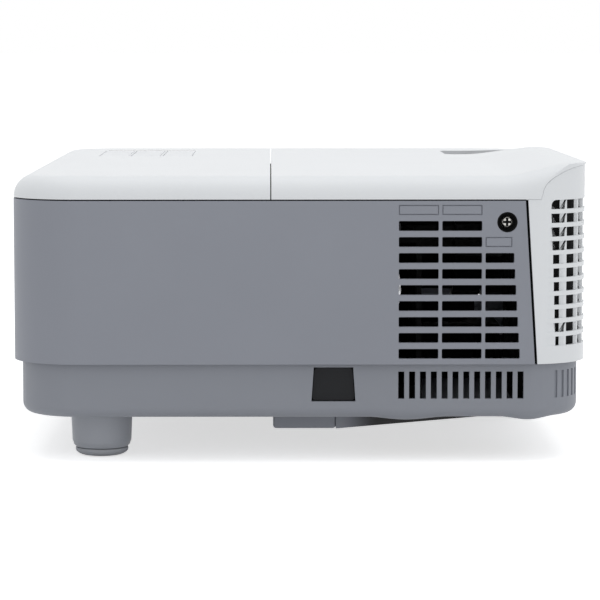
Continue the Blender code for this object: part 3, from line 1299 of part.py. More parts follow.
def add_blades(shape, axis, centre, hub, tip, low, high, count, thickness, lean):
    """Add flat blades round a hub, each leaning by an angle."""
    half_length = (high - low) / 2
    middle_along = (high + low) / 2
    for number in range(count):
        blade = bmesh.new()
        drawn = max(half_length * math.cos(lean) - thickness / 2 * math.sin(lean), thickness)
        half_chord = drawn / max(math.cos(lean), math.cos(FAN_BLADE_TWIST))
        add_box(blade, (hub, -thickness / 2, -half_chord), (tip, thickness / 2, half_chord))
        bmesh.ops.rotate(blade, verts=blade.verts, matrix=Matrix.Rotation(lean, 3, "X"))
        turn = Matrix.Rotation(math.tau * number / count, 3, "Z")
        bmesh.ops.rotate(blade, verts=blade.verts, matrix=turn)
        for face in list(blade.faces):
            spots = []
            for vert in face.verts:
                spots.append(vert.co)
            corners = [shape.verts.new(place(axis, centre[0] + spot.x, centre[1] + spot.y,
                                             middle_along + spot.z)) for spot in spots]
            shape.faces.new(corners)
        blade.free()
    bmesh.ops.remove_doubles(shape, verts=shape.verts, dist=GAP / 100)


def build_fan():
    """Axial exhaust fan behind the grid: square frame and seven-blade rotor."""
    far_x = FAN_NEAR_X + FAN_SIZE
    rear_y = FAN_FRONT_Y + FAN_THICKNESS
    top_z = REST_Z + FAN_SIZE
    centre = (FAN_NEAR_X + FAN_SIZE / 2, REST_Z + FAN_SIZE / 2)
    frame = new_object("exhaust_fan_frame", box((FAN_NEAR_X, FAN_FRONT_Y, REST_Z),
                                                (far_x, rear_y, top_z)), "inner_black")
    cut(frame, rod("Y", centre, FAN_BORE_R, FAN_FRONT_Y - OVERRUN, rear_y + OVERRUN), "bore")
    plate_y = rear_y - FAN_HUB_PLATE
    struts = bmesh.new()
    half = FAN_STRUT_WIDTH / 2
    reach = (FAN_SIZE / 2 + FAN_BORE_R) / 2
    outline = [(-half, -reach), (half, -reach), (half, -half), (reach, -half), (reach, half),
               (half, half), (half, reach), (-half, reach), (-half, half), (-reach, half),
               (-reach, -half), (-half, -half)]
    cross = [(centre[0] + across, centre[1] + up) for across, up in outline]
    add_prism(struts, cross, "Y", plate_y, rear_y)
    join(frame, struts, "struts")
    hub = rod("Y", centre, FAN_HUB_R, plate_y, rear_y)
    join(frame, hub, "hub")
    pin_front = FAN_FRONT_Y + FAN_HUB_PLATE
    join(frame, rod("Y", centre, FAN_PIN_R, pin_front, rear_y - UNION_BITE, SMALL_SIDES), "pin")

    low = FAN_FRONT_Y + FAN_HUB_PLATE
    high = plate_y - RUN_GAP
    origin = (centre[0], low, centre[1])
    rotor = new_object("exhaust_fan_rotor", rod("Y", centre, FAN_HUB_R, low, high), "inner_black",
                       origin, smooth=True)
    blades = bmesh.new()
    add_blades(blades, "Y", centre, FAN_HUB_R - 2 * UNION_BITE, FAN_BORE_R - FAN_TIP_GAP, low, high,
               FAN_BLADES, FAN_BLADE_THICKNESS, FAN_BLADE_TWIST)
    join(rotor, blades, "blades")
    cut(rotor, rod("Y", centre, FAN_PIN_R + GAP, low - OVERRUN, high + OVERRUN, SMALL_SIDES),
        "bore")


def build_blower():
    """Radial blower on the floor: box with a top inlet and a side outlet, and its wheel."""
    low = (BLOWER_NEAR_X, BLOWER_FRONT_Y, REST_Z)
    high = (BLOWER_NEAR_X + BLOWER_SIZE, BLOWER_FRONT_Y + BLOWER_SIZE, REST_Z + BLOWER_HEIGHT)
    centre = ((low[0] + high[0]) / 2, (low[1] + high[1]) / 2)
    housing = new_object("blower_housing", box(low, high), "inner_black")
    cavity_r = BLOWER_WHEEL_R + 2 * FAN_TIP_GAP
    floor = low[2] + BLOWER_WALL
    roof = high[2] - BLOWER_WALL
    cut(housing, rod("Z", centre, cavity_r, floor, roof), "cavity")
    cut(housing, rod("Z", centre, BLOWER_INLET_R, roof - OVERRUN, high[2] + OVERRUN), "inlet")
    outlet = box((low[0] - OVERRUN, low[1] + BLOWER_WALL, floor),
                 (centre[0] - BLOWER_HUB_R, centre[1] - BLOWER_INLET_R, roof))
    cut(housing, outlet, "outlet")
    join(housing, rod("Z", centre, FAN_PIN_R, low[2] + UNION_BITE, roof, SMALL_SIDES), "pin")

    wheel_low = floor + RUN_GAP
    wheel_high = roof - RUN_GAP
    wheel = new_object("blower_wheel",
                       rod("Z", centre, BLOWER_WHEEL_R, wheel_low, wheel_low + FAN_HUB_PLATE),
                       "inner_black", (centre[0], centre[1], wheel_low), smooth=True)
    join(wheel, rod("Z", centre, BLOWER_HUB_R, wheel_low, wheel_high), "hub")
    blades = bmesh.new()
    add_blades(blades, "Z", centre, BLOWER_HUB_R - UNION_BITE, BLOWER_WHEEL_R - UNION_BITE,
               wheel_low + UNION_BITE, wheel_high, BLOWER_BLADES, FAN_BLADE_THICKNESS, 0)
    join(wheel, blades, "blades")
    cut(wheel, rod("Z", centre, FAN_PIN_R + GAP, wheel_low - OVERRUN, wheel_high + OVERRUN,
                   SMALL_SIDES), "bore")


def build_boards():
    """Main board, power board with its coil, and the upright connector board."""
    new_object("main_board", box((MAIN_BOARD_NEAR_X, MAIN_BOARD_FRONT_Y, MAIN_BOARD_Z),
                                 (MAIN_BOARD_FAR_X, MAIN_BOARD_REAR_Y, MAIN_BOARD_Z + BOARD)),
               "board_green")
    power = new_object("power_board",
                       box((POWER_BOARD_NEAR_X, POWER_BOARD_FRONT_Y, POWER_BOARD_Z),
                           (POWER_BOARD_FAR_X, POWER_BOARD_REAR_Y, POWER_BOARD_Z + BOARD)),
                       "board_green")
    parts = bmesh.new()
    middle_y = (POWER_BOARD_FRONT_Y + POWER_BOARD_REAR_Y) / 2
    for share in COIL_PLACE_SHARES:
        x = POWER_BOARD_NEAR_X + (POWER_BOARD_FAR_X - POWER_BOARD_NEAR_X) * share
        add_rod(parts, "Z", (x, middle_y), COIL_R, POWER_BOARD_Z + BOARD - UNION_BITE,
                POWER_BOARD_Z + BOARD + COIL_HEIGHT, SMALL_SIDES)
    join(power, parts, "coils")
    new_object("connector_board", box((PANEL_NEAR_X, CONNECTOR_BOARD_Y, REST_Z),
                                      (PANEL_FAR_X, CONNECTOR_BOARD_Y + BOARD,
                                       CONNECTOR_BOARD_TOP_Z)), "board_green")


def panel_face_y():
    """Outer face of the connector panel, behind the middle case."""
    return INNER_REAR_Y - GAP


def jacks():
    """Every connector of the rear panel: name, slot, x, z, outline maker and hollow maker."""
    face = panel_face_y() + JACK_STAND
    sub = ((COMPUTER_IN_A_X, UPPER_ROW_Z, "computer_in_a"), (COMPUTER_IN_B_X, UPPER_ROW_Z,
           "computer_in_b"), (COMPUTER_OUT_X, LOWER_ROW_Z, "computer_out"))
    found = []
    for x, z, name in sub:
        found.append((name, "jack_blue", rectangle(x, z, SUB_WIDTH, SUB_HEIGHT),
                      d_outline(x, z), SUB_DEPTH, face))
    found.append(("serial_port", "port_metal", rectangle(SERIAL_X, LOWER_ROW_Z, SUB_WIDTH, SUB_HEIGHT),
                  d_outline(SERIAL_X, LOWER_ROW_Z), SUB_DEPTH, face))
    rounds = (("audio_out_jack", "dark_plastic", AUDIO_OUT_X, ROUND_JACK_BORE_R),
              ("audio_in_jack", "dark_plastic", AUDIO_IN_X, ROUND_JACK_BORE_R),
              ("video_jack", "jack_yellow", VIDEO_X, VIDEO_BORE_R))
    for name, slot, x, bore in rounds:
        found.append((name, slot, circle(x, LOWER_ROW_Z, ROUND_JACK_R, SMALL_SIDES),
                      circle(x, LOWER_ROW_Z, bore, SMALL_SIDES), ROUND_JACK_DEPTH, face))
    found.append(("super_video_port", "dark_plastic",
                  circle(CIRCULAR_PORT_X, UPPER_ROW_Z, CIRCULAR_PORT_R, ROUND_SIDES),
                  circle(CIRCULAR_PORT_X, UPPER_ROW_Z, CIRCULAR_PORT_BORE_R, ROUND_SIDES),
                  SUB_DEPTH, face))
    return found


def rectangle(x, z, width, height):
    """Points of an upright rectangle about a centre."""
    return [(x - width / 2, z - height / 2), (x + width / 2, z - height / 2),
            (x + width / 2, z + height / 2), (x - width / 2, z + height / 2)]


def d_outline(x, z):
    """D-shaped hollow of a fifteen or nine pin connector."""
    half = SUB_FACE_WIDTH / 2
    narrow = half - SUB_FACE_HEIGHT / 6
    high = SUB_FACE_HEIGHT / 2
    return [(x - narrow, z - high), (x + narrow, z - high), (x + half, z + high),
            (x - half, z + high)]


def grown(outline, amount):
    """Outline with each point moved out from the middle along both axes."""
    middle_a = sum(point[0] for point in outline) / len(outline)
    middle_b = sum(point[1] for point in outline) / len(outline)
    reach = max(math.hypot(a - middle_a, b - middle_b) for a, b in outline)
    points = []
    for a, b in outline:
        if len(outline) == 4:
            points.append((a + math.copysign(amount, a - middle_a),
                           b + math.copysign(amount, b - middle_b)))
        else:
            share = (reach + amount) / reach
            points.append((middle_a + (a - middle_a) * share, middle_b + (b - middle_b) * share))
    return points


def build_panel():
    """Connector plate behind the rear window, with its connectors, and the mains inlet."""
    face = panel_face_y()
    plate = new_object("connector_plate",
                       box((PANEL_NEAR_X - PANEL_LAP, face - PANEL_THICKNESS,
                            PANEL_LOW_Z - PANEL_LAP),
                           (PANEL_FAR_X + PANEL_LAP, face, PANEL_HIGH_Z + PANEL_LAP)),
                       "dark_plastic")
    holes = bmesh.new()
    for name, slot, outline, hollow, depth, front in jacks():
        add_prism(holes, grown(outline, GAP), "Y", face - PANEL_THICKNESS - OVERRUN,
                  face + OVERRUN)
        body = add_prism(bmesh.new(), outline, "Y", CONNECTOR_BOARD_Y + BOARD + GAP, front)
        made = new_object(name, body, slot)
        cut(made, add_prism(bmesh.new(), hollow, "Y", front - depth, front + OVERRUN), "socket")
        if name == "super_video_port":
            core = rod("Y", (CIRCULAR_PORT_X, UPPER_ROW_Z), CIRCULAR_PORT_CORE_R,
                       front - depth - UNION_BITE, front - UNION_BITE, SMALL_SIDES)
            join(made, core, "core")
    cut(plate, holes, "holes")

    half_x = INLET_WIDTH / 2
    half_z = INLET_HEIGHT / 2
    flange_y = INNER_REAR_Y - GAP
    inlet = new_object("mains_inlet",
                       box((INLET_X - half_x, REAR_Y - INLET_DEPTH, INLET_Z - half_z),
                           (INLET_X + half_x, REAR_Y - GAP, INLET_Z + half_z)), "dark_plastic")
    lap = box((INLET_X - half_x - INLET_LAP, flange_y - INLET_FLANGE, INLET_Z - half_z - INLET_LAP),
              (INLET_X + half_x + INLET_LAP, flange_y, INLET_Z + half_z + INLET_LAP))
    join(inlet, lap, "flange")
    cut(inlet, box((INLET_X - INLET_BORE_WIDTH / 2, REAR_Y - INLET_BORE_DEPTH,
                    INLET_Z - INLET_BORE_HEIGHT / 2),
                   (INLET_X + INLET_BORE_WIDTH / 2, REAR_Y + OVERRUN,
                    INLET_Z + INLET_BORE_HEIGHT / 2)), "socket")


def build_speaker():
    """Loudspeaker that faces the intake slots."""
    face = INNER_FAR_X - GAP
    profile = [(0, face - SPEAKER_DEPTH), (SPEAKER_MAGNET_R, face - SPEAKER_DEPTH),
               (SPEAKER_MAGNET_R, face - SPEAKER_CONE_DEPTH),
               (SPEAKER_R, face - SPEAKER_FLANGE), (SPEAKER_R, face),
               (SPEAKER_R - SPEAKER_FLANGE, face),
               (SPEAKER_MAGNET_R / 2, face - SPEAKER_CONE_DEPTH + SPEAKER_FLANGE),
               (0, face - SPEAKER_CONE_DEPTH + SPEAKER_FLANGE)]
    new_object("loudspeaker", turned("X", (SPEAKER_Y, SPEAKER_Z), profile), "inner_black",
               smooth=True)


def key_places():
    """Name, low corner and high corner of each key, flush with the top."""
    found = []
    for column in range(KEY_COLUMNS):
        for row in range(KEY_ROWS):
            x = KEYPAD_NEAR_X + row * KEY_LENGTH_X
            y = KEYPAD_FRONT_Y + column * KEY_LENGTH_Y
            low = (x + KEY_LINE / 2, y + KEY_LINE / 2, TOP_Z - KEY_CAP)
            high = (x + KEY_LENGTH_X - KEY_LINE / 2, y + KEY_LENGTH_Y - KEY_LINE / 2, TOP_Z)
            found.append((KEY_NAMES[column][row], low, high))
    return found


def keypad_board_top():
    """Upper face of the keypad board."""
    return TOP_Z - KEY_CAP - KEY_TRAVEL - GAP - SWITCH_HEIGHT


def keypad_box():
    """Low and high x and y of the keypad board."""
    return (KEYPAD_NEAR_X - 2 * KEYPAD_POST_R - KEY_LINE,
            KEYPAD_FRONT_Y - 2 * KEYPAD_POST_R - KEY_LINE,
            status_place()[1][0] + 2 * KEYPAD_POST_R + KEY_LINE,
            KEYPAD_FRONT_Y + KEY_COLUMNS * KEY_LENGTH_Y + 2 * KEYPAD_POST_R + KEY_LINE)


def keypad_posts():
    """Corners of the keypad board where the top cover's posts meet it."""
    low_x, low_y, high_x, high_y = keypad_box()
    inner = KEYPAD_POST_R + GAP
    return [(x, y) for x in (low_x + inner, high_x - inner) for y in (low_y + inner, high_y - inner)]


def status_place():
    """Low and high corner of the indicator window beside the keys."""
    x = KEYPAD_NEAR_X + KEY_ROWS * KEY_LENGTH_X + STATUS_GAP
    low_y = KEYPAD_FRONT_Y + KEY_LINE
    high_y = KEYPAD_FRONT_Y + KEY_COLUMNS * KEY_LENGTH_Y - KEY_LINE
    return (x, low_y, TOP_Z - WALL - GAP), (x + STATUS_WIDTH, high_y, TOP_Z)


def build_keypad():
    """Twelve push keys, their board with a switch under each, and the indicator window."""
    low_x, low_y, high_x, high_y = keypad_box()
    board_top = keypad_board_top()
    board = new_object("keypad_board", box((low_x, low_y, board_top - BOARD),
                                           (high_x, high_y, board_top)), "board_green")
    switches = bmesh.new()
    for name, low, high in key_places():
        centre = ((low[0] + high[0]) / 2, (low[1] + high[1]) / 2)
        add_rod(switches, "Z", centre, SWITCH_R, board_top - UNION_BITE,
                board_top + SWITCH_HEIGHT, SWITCH_SIDES)
        shape = box(low, high)
        new_object(name, shape, "key_plastic", (centre[0], centre[1], low[2]))
    join(board, switches, "switches")
    low, high = status_place()
    window = new_object("indicator_window", box(low, high), "window_dark")
    lap = box((low[0] - STATUS_LAP, low[1] - STATUS_LAP, low[2] - STATUS_THICKNESS),
              (high[0] + STATUS_LAP, high[1] + STATUS_LAP, low[2]))
    lens = box((low[0] + STATUS_LAP, low[1] + STATUS_LAP, low[2] - STATUS_THICKNESS / 2),
               (high[0] - STATUS_LAP, high[1] - STATUS_LAP, high[2] - WALL / 2))
    join(window, lap, "lap")
    join(window, lens, "core")


def main():
    """Build every piece."""
    clear_scene()
    build_bottom_case()
    build_bar_cover()
    build_middle_case()
    build_bezel()
    build_covers()
    build_screw()
    build_feet()
    build_lens()
    build_sensor()
    build_engine()
    build_light_path()
    build_lamp()
    build_fan()
    build_blower()
    build_boards()
    build_panel()
    build_speaker()
    build_keypad()


if __name__ == "__main__":
    main()
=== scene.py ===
"""Looks of a compact desktop projector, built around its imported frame.

Metres, in the frame's own places: -Y is the front, -X the side with the exhaust vents, +X the
side with the lens, +Z up. Each sub-assembly is a class that builds its pieces, dresses them and
says which nodes of the frame they stand for.
"""

import json
import logging
import math
from contextlib import contextmanager
from dataclasses import dataclass
from enum import Enum
from typing import Callable, Iterator, Sequence

import bmesh
import bpy
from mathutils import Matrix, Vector


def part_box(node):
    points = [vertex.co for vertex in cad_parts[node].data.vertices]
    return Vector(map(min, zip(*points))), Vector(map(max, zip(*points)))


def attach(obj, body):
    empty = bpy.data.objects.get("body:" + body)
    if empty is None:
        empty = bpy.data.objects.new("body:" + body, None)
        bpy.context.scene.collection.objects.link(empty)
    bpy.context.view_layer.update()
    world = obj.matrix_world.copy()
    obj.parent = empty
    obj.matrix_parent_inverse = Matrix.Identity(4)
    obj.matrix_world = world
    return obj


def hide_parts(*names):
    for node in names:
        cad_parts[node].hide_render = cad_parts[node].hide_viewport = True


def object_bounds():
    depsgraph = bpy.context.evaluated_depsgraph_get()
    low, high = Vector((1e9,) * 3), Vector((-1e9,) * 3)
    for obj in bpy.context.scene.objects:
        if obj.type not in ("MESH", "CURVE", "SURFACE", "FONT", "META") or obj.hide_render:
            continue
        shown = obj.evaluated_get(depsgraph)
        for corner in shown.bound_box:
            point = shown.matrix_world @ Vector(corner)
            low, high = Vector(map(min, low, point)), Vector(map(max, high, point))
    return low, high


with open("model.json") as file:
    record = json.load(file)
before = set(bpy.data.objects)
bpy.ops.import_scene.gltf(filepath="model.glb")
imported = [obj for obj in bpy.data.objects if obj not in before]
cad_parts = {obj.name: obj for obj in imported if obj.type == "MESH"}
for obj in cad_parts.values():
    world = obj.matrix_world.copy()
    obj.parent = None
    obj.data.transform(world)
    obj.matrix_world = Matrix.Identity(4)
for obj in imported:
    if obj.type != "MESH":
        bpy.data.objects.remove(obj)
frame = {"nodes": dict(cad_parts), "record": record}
CAD_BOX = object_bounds()
LOG = logging.getLogger("projector")

Place = Sequence[float]
Outline = Sequence[tuple[float, float]]
Test = Callable[[Vector, Vector], bool]

NEAR_X, FRONT_Y = CAD_BOX[0].x, CAD_BOX[0].y
FAR_X, REAR_Y = CAD_BOX[1].x, CAD_BOX[1].y
ROOT = "case"
OVERRUN = 0.004
BITE = 0.0005
CORNER_SEGMENTS = 16
ROUND_STEPS = 64
SCREW_Y, SCREW_Z = -0.0773, 0.0909


class Axis(Enum):
    """Axis that a turned or extruded piece follows."""

    X = 0
    Y = 1
    Z = 2


class Carve(Enum):
    """What a tool does to a piece."""

    CUT = "DIFFERENCE"
    JOIN = "UNION"
    KEEP = "INTERSECT"


# Selecting and editing


def only(piece: bpy.types.Object) -> None:
    """Select one piece alone and make it active."""
    bpy.ops.object.select_all(action="DESELECT")
    piece.select_set(True)
    bpy.context.view_layer.objects.active = piece


@contextmanager
def editing(piece: bpy.types.Object, what: str = "FACE") -> Iterator[None]:
    """Open a piece in edit mode with nothing selected, and close it afterwards.

    Args:
        piece: The piece to edit.
        what: The kind of element that is selected: VERT, EDGE or FACE.
    """
    only(piece)
    bpy.ops.object.mode_set(mode="EDIT")
    bpy.ops.mesh.select_mode(type=what)
    bpy.ops.mesh.select_all(action="DESELECT")
    yield
    bpy.ops.object.mode_set(mode="OBJECT")


def pick_faces(test: Test) -> None:
    """Select the faces of the piece in edit mode whose centre and normal pass a test."""
    mesh = bmesh.from_edit_mesh(bpy.context.edit_object.data)
    mesh.normal_update()
    for face in mesh.faces:
        face.select_set(test(face.calc_center_median(), face.normal))
    bmesh.update_edit_mesh(bpy.context.edit_object.data)


def pick_edges(test: Test) -> None:
    """Select the edges of the piece in edit mode whose middle and direction pass a test."""
    mesh = bmesh.from_edit_mesh(bpy.context.edit_object.data)
    for edge in mesh.edges:
        first, last = (vert.co for vert in edge.verts)
        edge.select_set(test((first + last) / 2, (last - first).normalized()))
    bmesh.update_edit_mesh(bpy.context.edit_object.data)


def apply_modifier(piece: bpy.types.Object, kind: str, **values: object) -> None:
    """Add a modifier with the given values and apply it.

    Args:
        piece: The piece that gets it.
        kind: The modifier's type.
        values: Properties of the modifier.
    """
    only(piece)
    step = piece.modifiers.new(kind.lower(), kind)
    for label, value in values.items():
        setattr(step, label, value)
    bpy.ops.object.modifier_apply(modifier=step.name)


# Starting shapes


def settle_place(piece: bpy.types.Object, name: str) -> bpy.types.Object:
    """Name a piece and move its place, turn and scale into its mesh."""
    piece.name = name
    piece.data.name = name
    only(piece)
    bpy.ops.object.transform_apply(location=True, rotation=True, scale=True)
    return piece


def block(name: str, low: Place, high: Place) -> bpy.types.Object:
    """A box between two corners.

    Args:
        name: The piece's name.
        low: The lowest corner.
        high: The highest corner.

    Returns:
        The new piece, with its place in its mesh.
    """
    bpy.ops.object.select_all(action="DESELECT")
    centre = [(first + last) / 2 for first, last in zip(low, high)]
    bpy.ops.mesh.primitive_cube_add(size=1, location=centre)
    made = bpy.context.active_object
    made.scale = [last - first for first, last in zip(low, high)]
    return settle_place(made, name)


def rod(name: str, axis: Axis, centre: Place, radius: float, low: float, high: float,
        sides: int = ROUND_STEPS) -> bpy.types.Object:
    """A cylinder along an axis.

    Args:
        name: The piece's name.
        axis: The axis it follows.
        centre: Its centre in the plane square to the axis, in the order X, Y, Z.
        radius: Its radius.
        low: Where it starts along the axis.
        high: Where it ends along the axis.
        sides: How many sides it has.
    """
    bpy.ops.object.select_all(action="DESELECT")
    spot = list(centre)
    spot.insert(axis.value, (low + high) / 2)
    turn = {Axis.X: (0, math.pi / 2, 0), Axis.Y: (math.pi / 2, 0, 0), Axis.Z: (0, 0, 0)}[axis]
    bpy.ops.mesh.primitive_cylinder_add(vertices=sides, radius=radius, depth=high - low,
                                        location=spot, rotation=turn)
    return settle_place(bpy.context.active_object, name)


def rounded_block(name: str, low: Place, high: Place, front_radius: float,
                  rear_radius: float, segments: int = CORNER_SEGMENTS) -> bpy.types.Object:
    """A box whose upright edges are rounded, with one radius in front and one behind."""
    made = block(name, low, high)
    middle_y = (low[1] + high[1]) / 2
    for radius, front in ((front_radius, True), (rear_radius, False)):
        with editing(made, "EDGE"):
            pick_edges(lambda middle, along: abs(along.z) > 0.9
                       and (middle.y < middle_y) == front
                       and abs(abs(middle.y - middle_y) - (high[1] - low[1]) / 2) < BITE / 5)
            bpy.ops.mesh.bevel(offset=radius, segments=segments, affect="EDGES", profile=0.5,
                               clamp_overlap=False)
    return made


def soft_block(name: str, low: Place, high: Place, radius: float, axis: Axis,
               segments: int = 4) -> bpy.types.Object:
    """A box whose four edges along an axis are rounded."""
    made = block(name, low, high)
    with editing(made, "EDGE"):
        pick_edges(lambda middle, along: abs(along[axis.value]) > 0.9)
        bpy.ops.mesh.bevel(offset=radius, segments=segments, affect="EDGES", profile=0.5)
    return made


def from_points(name: str, points: Sequence[Place], lines: Sequence[Sequence[int]],
                faces: Sequence[Sequence[int]]) -> bpy.types.Object:
    """A piece from its points and the lines or faces between them."""
    mesh = bpy.data.meshes.new(name)
    mesh.from_pydata(points, lines, faces)
    made = bpy.data.objects.new(name, mesh)
    bpy.context.scene.collection.objects.link(made)
    return made


def prism(name: str, outline: Outline, axis: Axis, low: float, high: float) -> bpy.types.Object:
    """A flat outline, given square to an axis in the order X, Y, Z, extruded along it."""
    verts = []
    for first, second in outline:
        spot = [first, second]
        spot.insert(axis.value, low)
        verts.append(spot)
    made = from_points(name, verts, [], [list(range(len(verts)))])
    step = [0.0, 0.0, 0.0]
    step[axis.value] = high - low
    with editing(made):
        bpy.ops.mesh.select_all(action="SELECT")
        bpy.ops.mesh.extrude_region_move(TRANSFORM_OT_translate={"value": step})
        bpy.ops.mesh.select_all(action="SELECT")
        bpy.ops.mesh.normals_make_consistent(inside=False)
    return made


def turned(name: str, axis: Axis, centre: Place, profile: Outline,
           steps: int = ROUND_STEPS) -> bpy.types.Object:
    """Spin a profile of (radius, along) points about an axis into a closed piece.

    Args:
        name: The piece's name.
        axis: The axis it turns about.
        centre: The axis's place in the plane square to it, in the order X, Y, Z.
        profile: The points, from one end to the other; a profile off the axis closes on itself.
        steps: How many steps the turn has.
    """
    ring = all(radius > 0 for radius, _ in profile)
    spots = []
    for radius, along in profile:
        spot = [centre[0] + radius, centre[1]]
        spot.insert(axis.value, along)
        spots.append(spot)
    lines = [(number, number + 1) for number in range(len(spots) - 1)]
    if ring:
        lines.append((len(spots) - 1, 0))
    made = from_points(name, spots, lines, [])
    middle = list(centre)
    middle.insert(axis.value, 0.0)
    direction = [0.0, 0.0, 0.0]
    direction[axis.value] = 1.0
    with editing(made, "VERT"):
        bpy.ops.mesh.select_all(action="SELECT")
        bpy.ops.mesh.spin(steps=steps, angle=math.tau, center=middle, axis=direction)
        bpy.ops.mesh.select_all(action="SELECT")
        bpy.ops.mesh.remove_doubles(threshold=BITE / 100)
        bpy.ops.mesh.normals_make_consistent(inside=False)
    return made


def loft(name: str, loops: Sequence[Sequence[Place]]) -> bpy.types.Object:
    """A closed piece through loops of equal count, capped at both ends."""
    count = len(loops[0])
    faces = [list(range(count)), list(range((len(loops) - 1) * count, len(loops) * count))]
    for number in range(len(loops) - 1):
        start = number * count
        for step in range(count):
            after = (step + 1) % count
            faces.append([start + step, start + after, start + count + after,
                          start + count + step])
    made = from_points(name, [spot for loop in loops for spot in loop], [], faces)
    with editing(made):
        bpy.ops.mesh.select_all(action="SELECT")
        bpy.ops.mesh.normals_make_consistent(inside=False)
    return made


# Shaping


def joined(pieces: Sequence[bpy.types.Object]) -> bpy.types.Object:
    """Make several pieces one object."""
    only(pieces[0])
    for piece in pieces[1:]:
        piece.select_set(True)
    if len(pieces) > 1:
        bpy.ops.object.join()
    return bpy.context.view_layer.objects.active


def carve(piece: bpy.types.Object, tools: Sequence[bpy.types.Object],
          mode: Carve = Carve.CUT) -> None:
    """Cut, join or keep tools with a piece, and remove the tools."""
    tool = joined(tools)
    apply_modifier(piece, "BOOLEAN", operation=mode.value, object=tool, solver="EXACT")
    bpy.data.objects.remove(tool)


def trim(piece: bpy.types.Object, point: Place, normal: Place) -> None:
    """Cut a piece with a plane and take away the side that the normal points to."""
    with editing(piece):
        bpy.ops.mesh.select_all(action="SELECT")
        bpy.ops.mesh.bisect(plane_co=point, plane_no=normal, use_fill=True, clear_outer=True)


def open_and_thicken(piece: bpy.types.Object, wall: float, top: bool, bottom: bool) -> None:
    """Take off the top or the bottom face and give what is left a wall inwards."""
    high = max(vert.co.z for vert in piece.data.vertices)
    low = min(vert.co.z for vert in piece.data.vertices)
    with editing(piece):
        pick_faces(lambda centre, normal: abs(normal.z) > 0.9
                   and ((top and high - centre.z < BITE) or (bottom and centre.z - low < BITE)))
        bpy.ops.mesh.delete(type="FACE")
    apply_modifier(piece, "SOLIDIFY", thickness=wall, offset=-1, use_even_offset=True)


def soften(piece: bpy.types.Object, width: float, segments: int = 2,
           angle: float = math.radians(40)) -> None:
    """Round every sharp edge of a piece and shade it smooth."""
    with editing(piece, "VERT"):
        bpy.ops.mesh.select_all(action="SELECT")
        bpy.ops.mesh.remove_doubles(threshold=BITE / 50)
    apply_modifier(piece, "BEVEL", width=width, segments=segments, limit_method="ANGLE",
                   angle_limit=angle, use_clamp_overlap=True, miter_outer="MITER_SHARP")
    finish_shading(piece)


def finish_shading(piece: bpy.types.Object, angle: float = math.radians(35)) -> None:
    """Shade a piece smooth up to an angle, with flat faces kept flat."""
    only(piece)
    bpy.ops.object.shade_smooth_by_angle(angle=angle)
    apply_modifier(piece, "WEIGHTED_NORMAL", keep_sharp=True, weight=50)


# Finishes


def linear(color: tuple[int, int, int]) -> tuple[float, float, float, float]:
    """Shader colour of an eight-bit screen colour."""
    values = []
    for channel in color:
        share = channel / 255
        values.append(share / 12.92 if share <= 0.04045 else ((share + 0.055) / 1.055) ** 2.4)
    return (*values, 1.0)


class NodeSheet:
    """A node tree with short calls for adding and linking nodes."""

    def __init__(self, tree: bpy.types.NodeTree) -> None:
        """Start on a tree."""
        self.tree = tree

    def add(self, kind: str, **values: object) -> bpy.types.Node:
        """Add a node and set its properties."""
        made = self.tree.nodes.new(kind)
        for label, value in values.items():
            setattr(made, label, value)
        return made

    def link(self, source: bpy.types.NodeSocket, target: bpy.types.NodeSocket) -> None:
        """Link an output to an input."""
        self.tree.links.new(source, target)


class SurfaceGroup(Enum):
    """Shader node groups that several finishes share."""

    MOULDED = "moulded_plastic"
    BRUSHED = "brushed_metal"


def socketed_group(name: str, inputs: Sequence[tuple[str, str, object]],
                   outputs: Sequence[tuple[str, str]]) -> tuple[NodeSheet, bpy.types.Node,
                                                                bpy.types.Node]:
    """Start a shader node group with named sockets.

    Args:
        name: The group's name.
        inputs: Label, socket type and default of each input.
        outputs: Label and socket type of each output.

    Returns:
        The group's sheet, its input node and its output node.
    """
    tree = bpy.data.node_groups.new(name, "ShaderNodeTree")
    for label, kind, value in inputs:
        tree.interface.new_socket(label, in_out="INPUT", socket_type=kind).default_value = value
    for label, kind in outputs:
        tree.interface.new_socket(label, in_out="OUTPUT", socket_type=kind)
    sheet = NodeSheet(tree)
    return sheet, sheet.add("NodeGroupInput"), sheet.add("NodeGroupOutput")


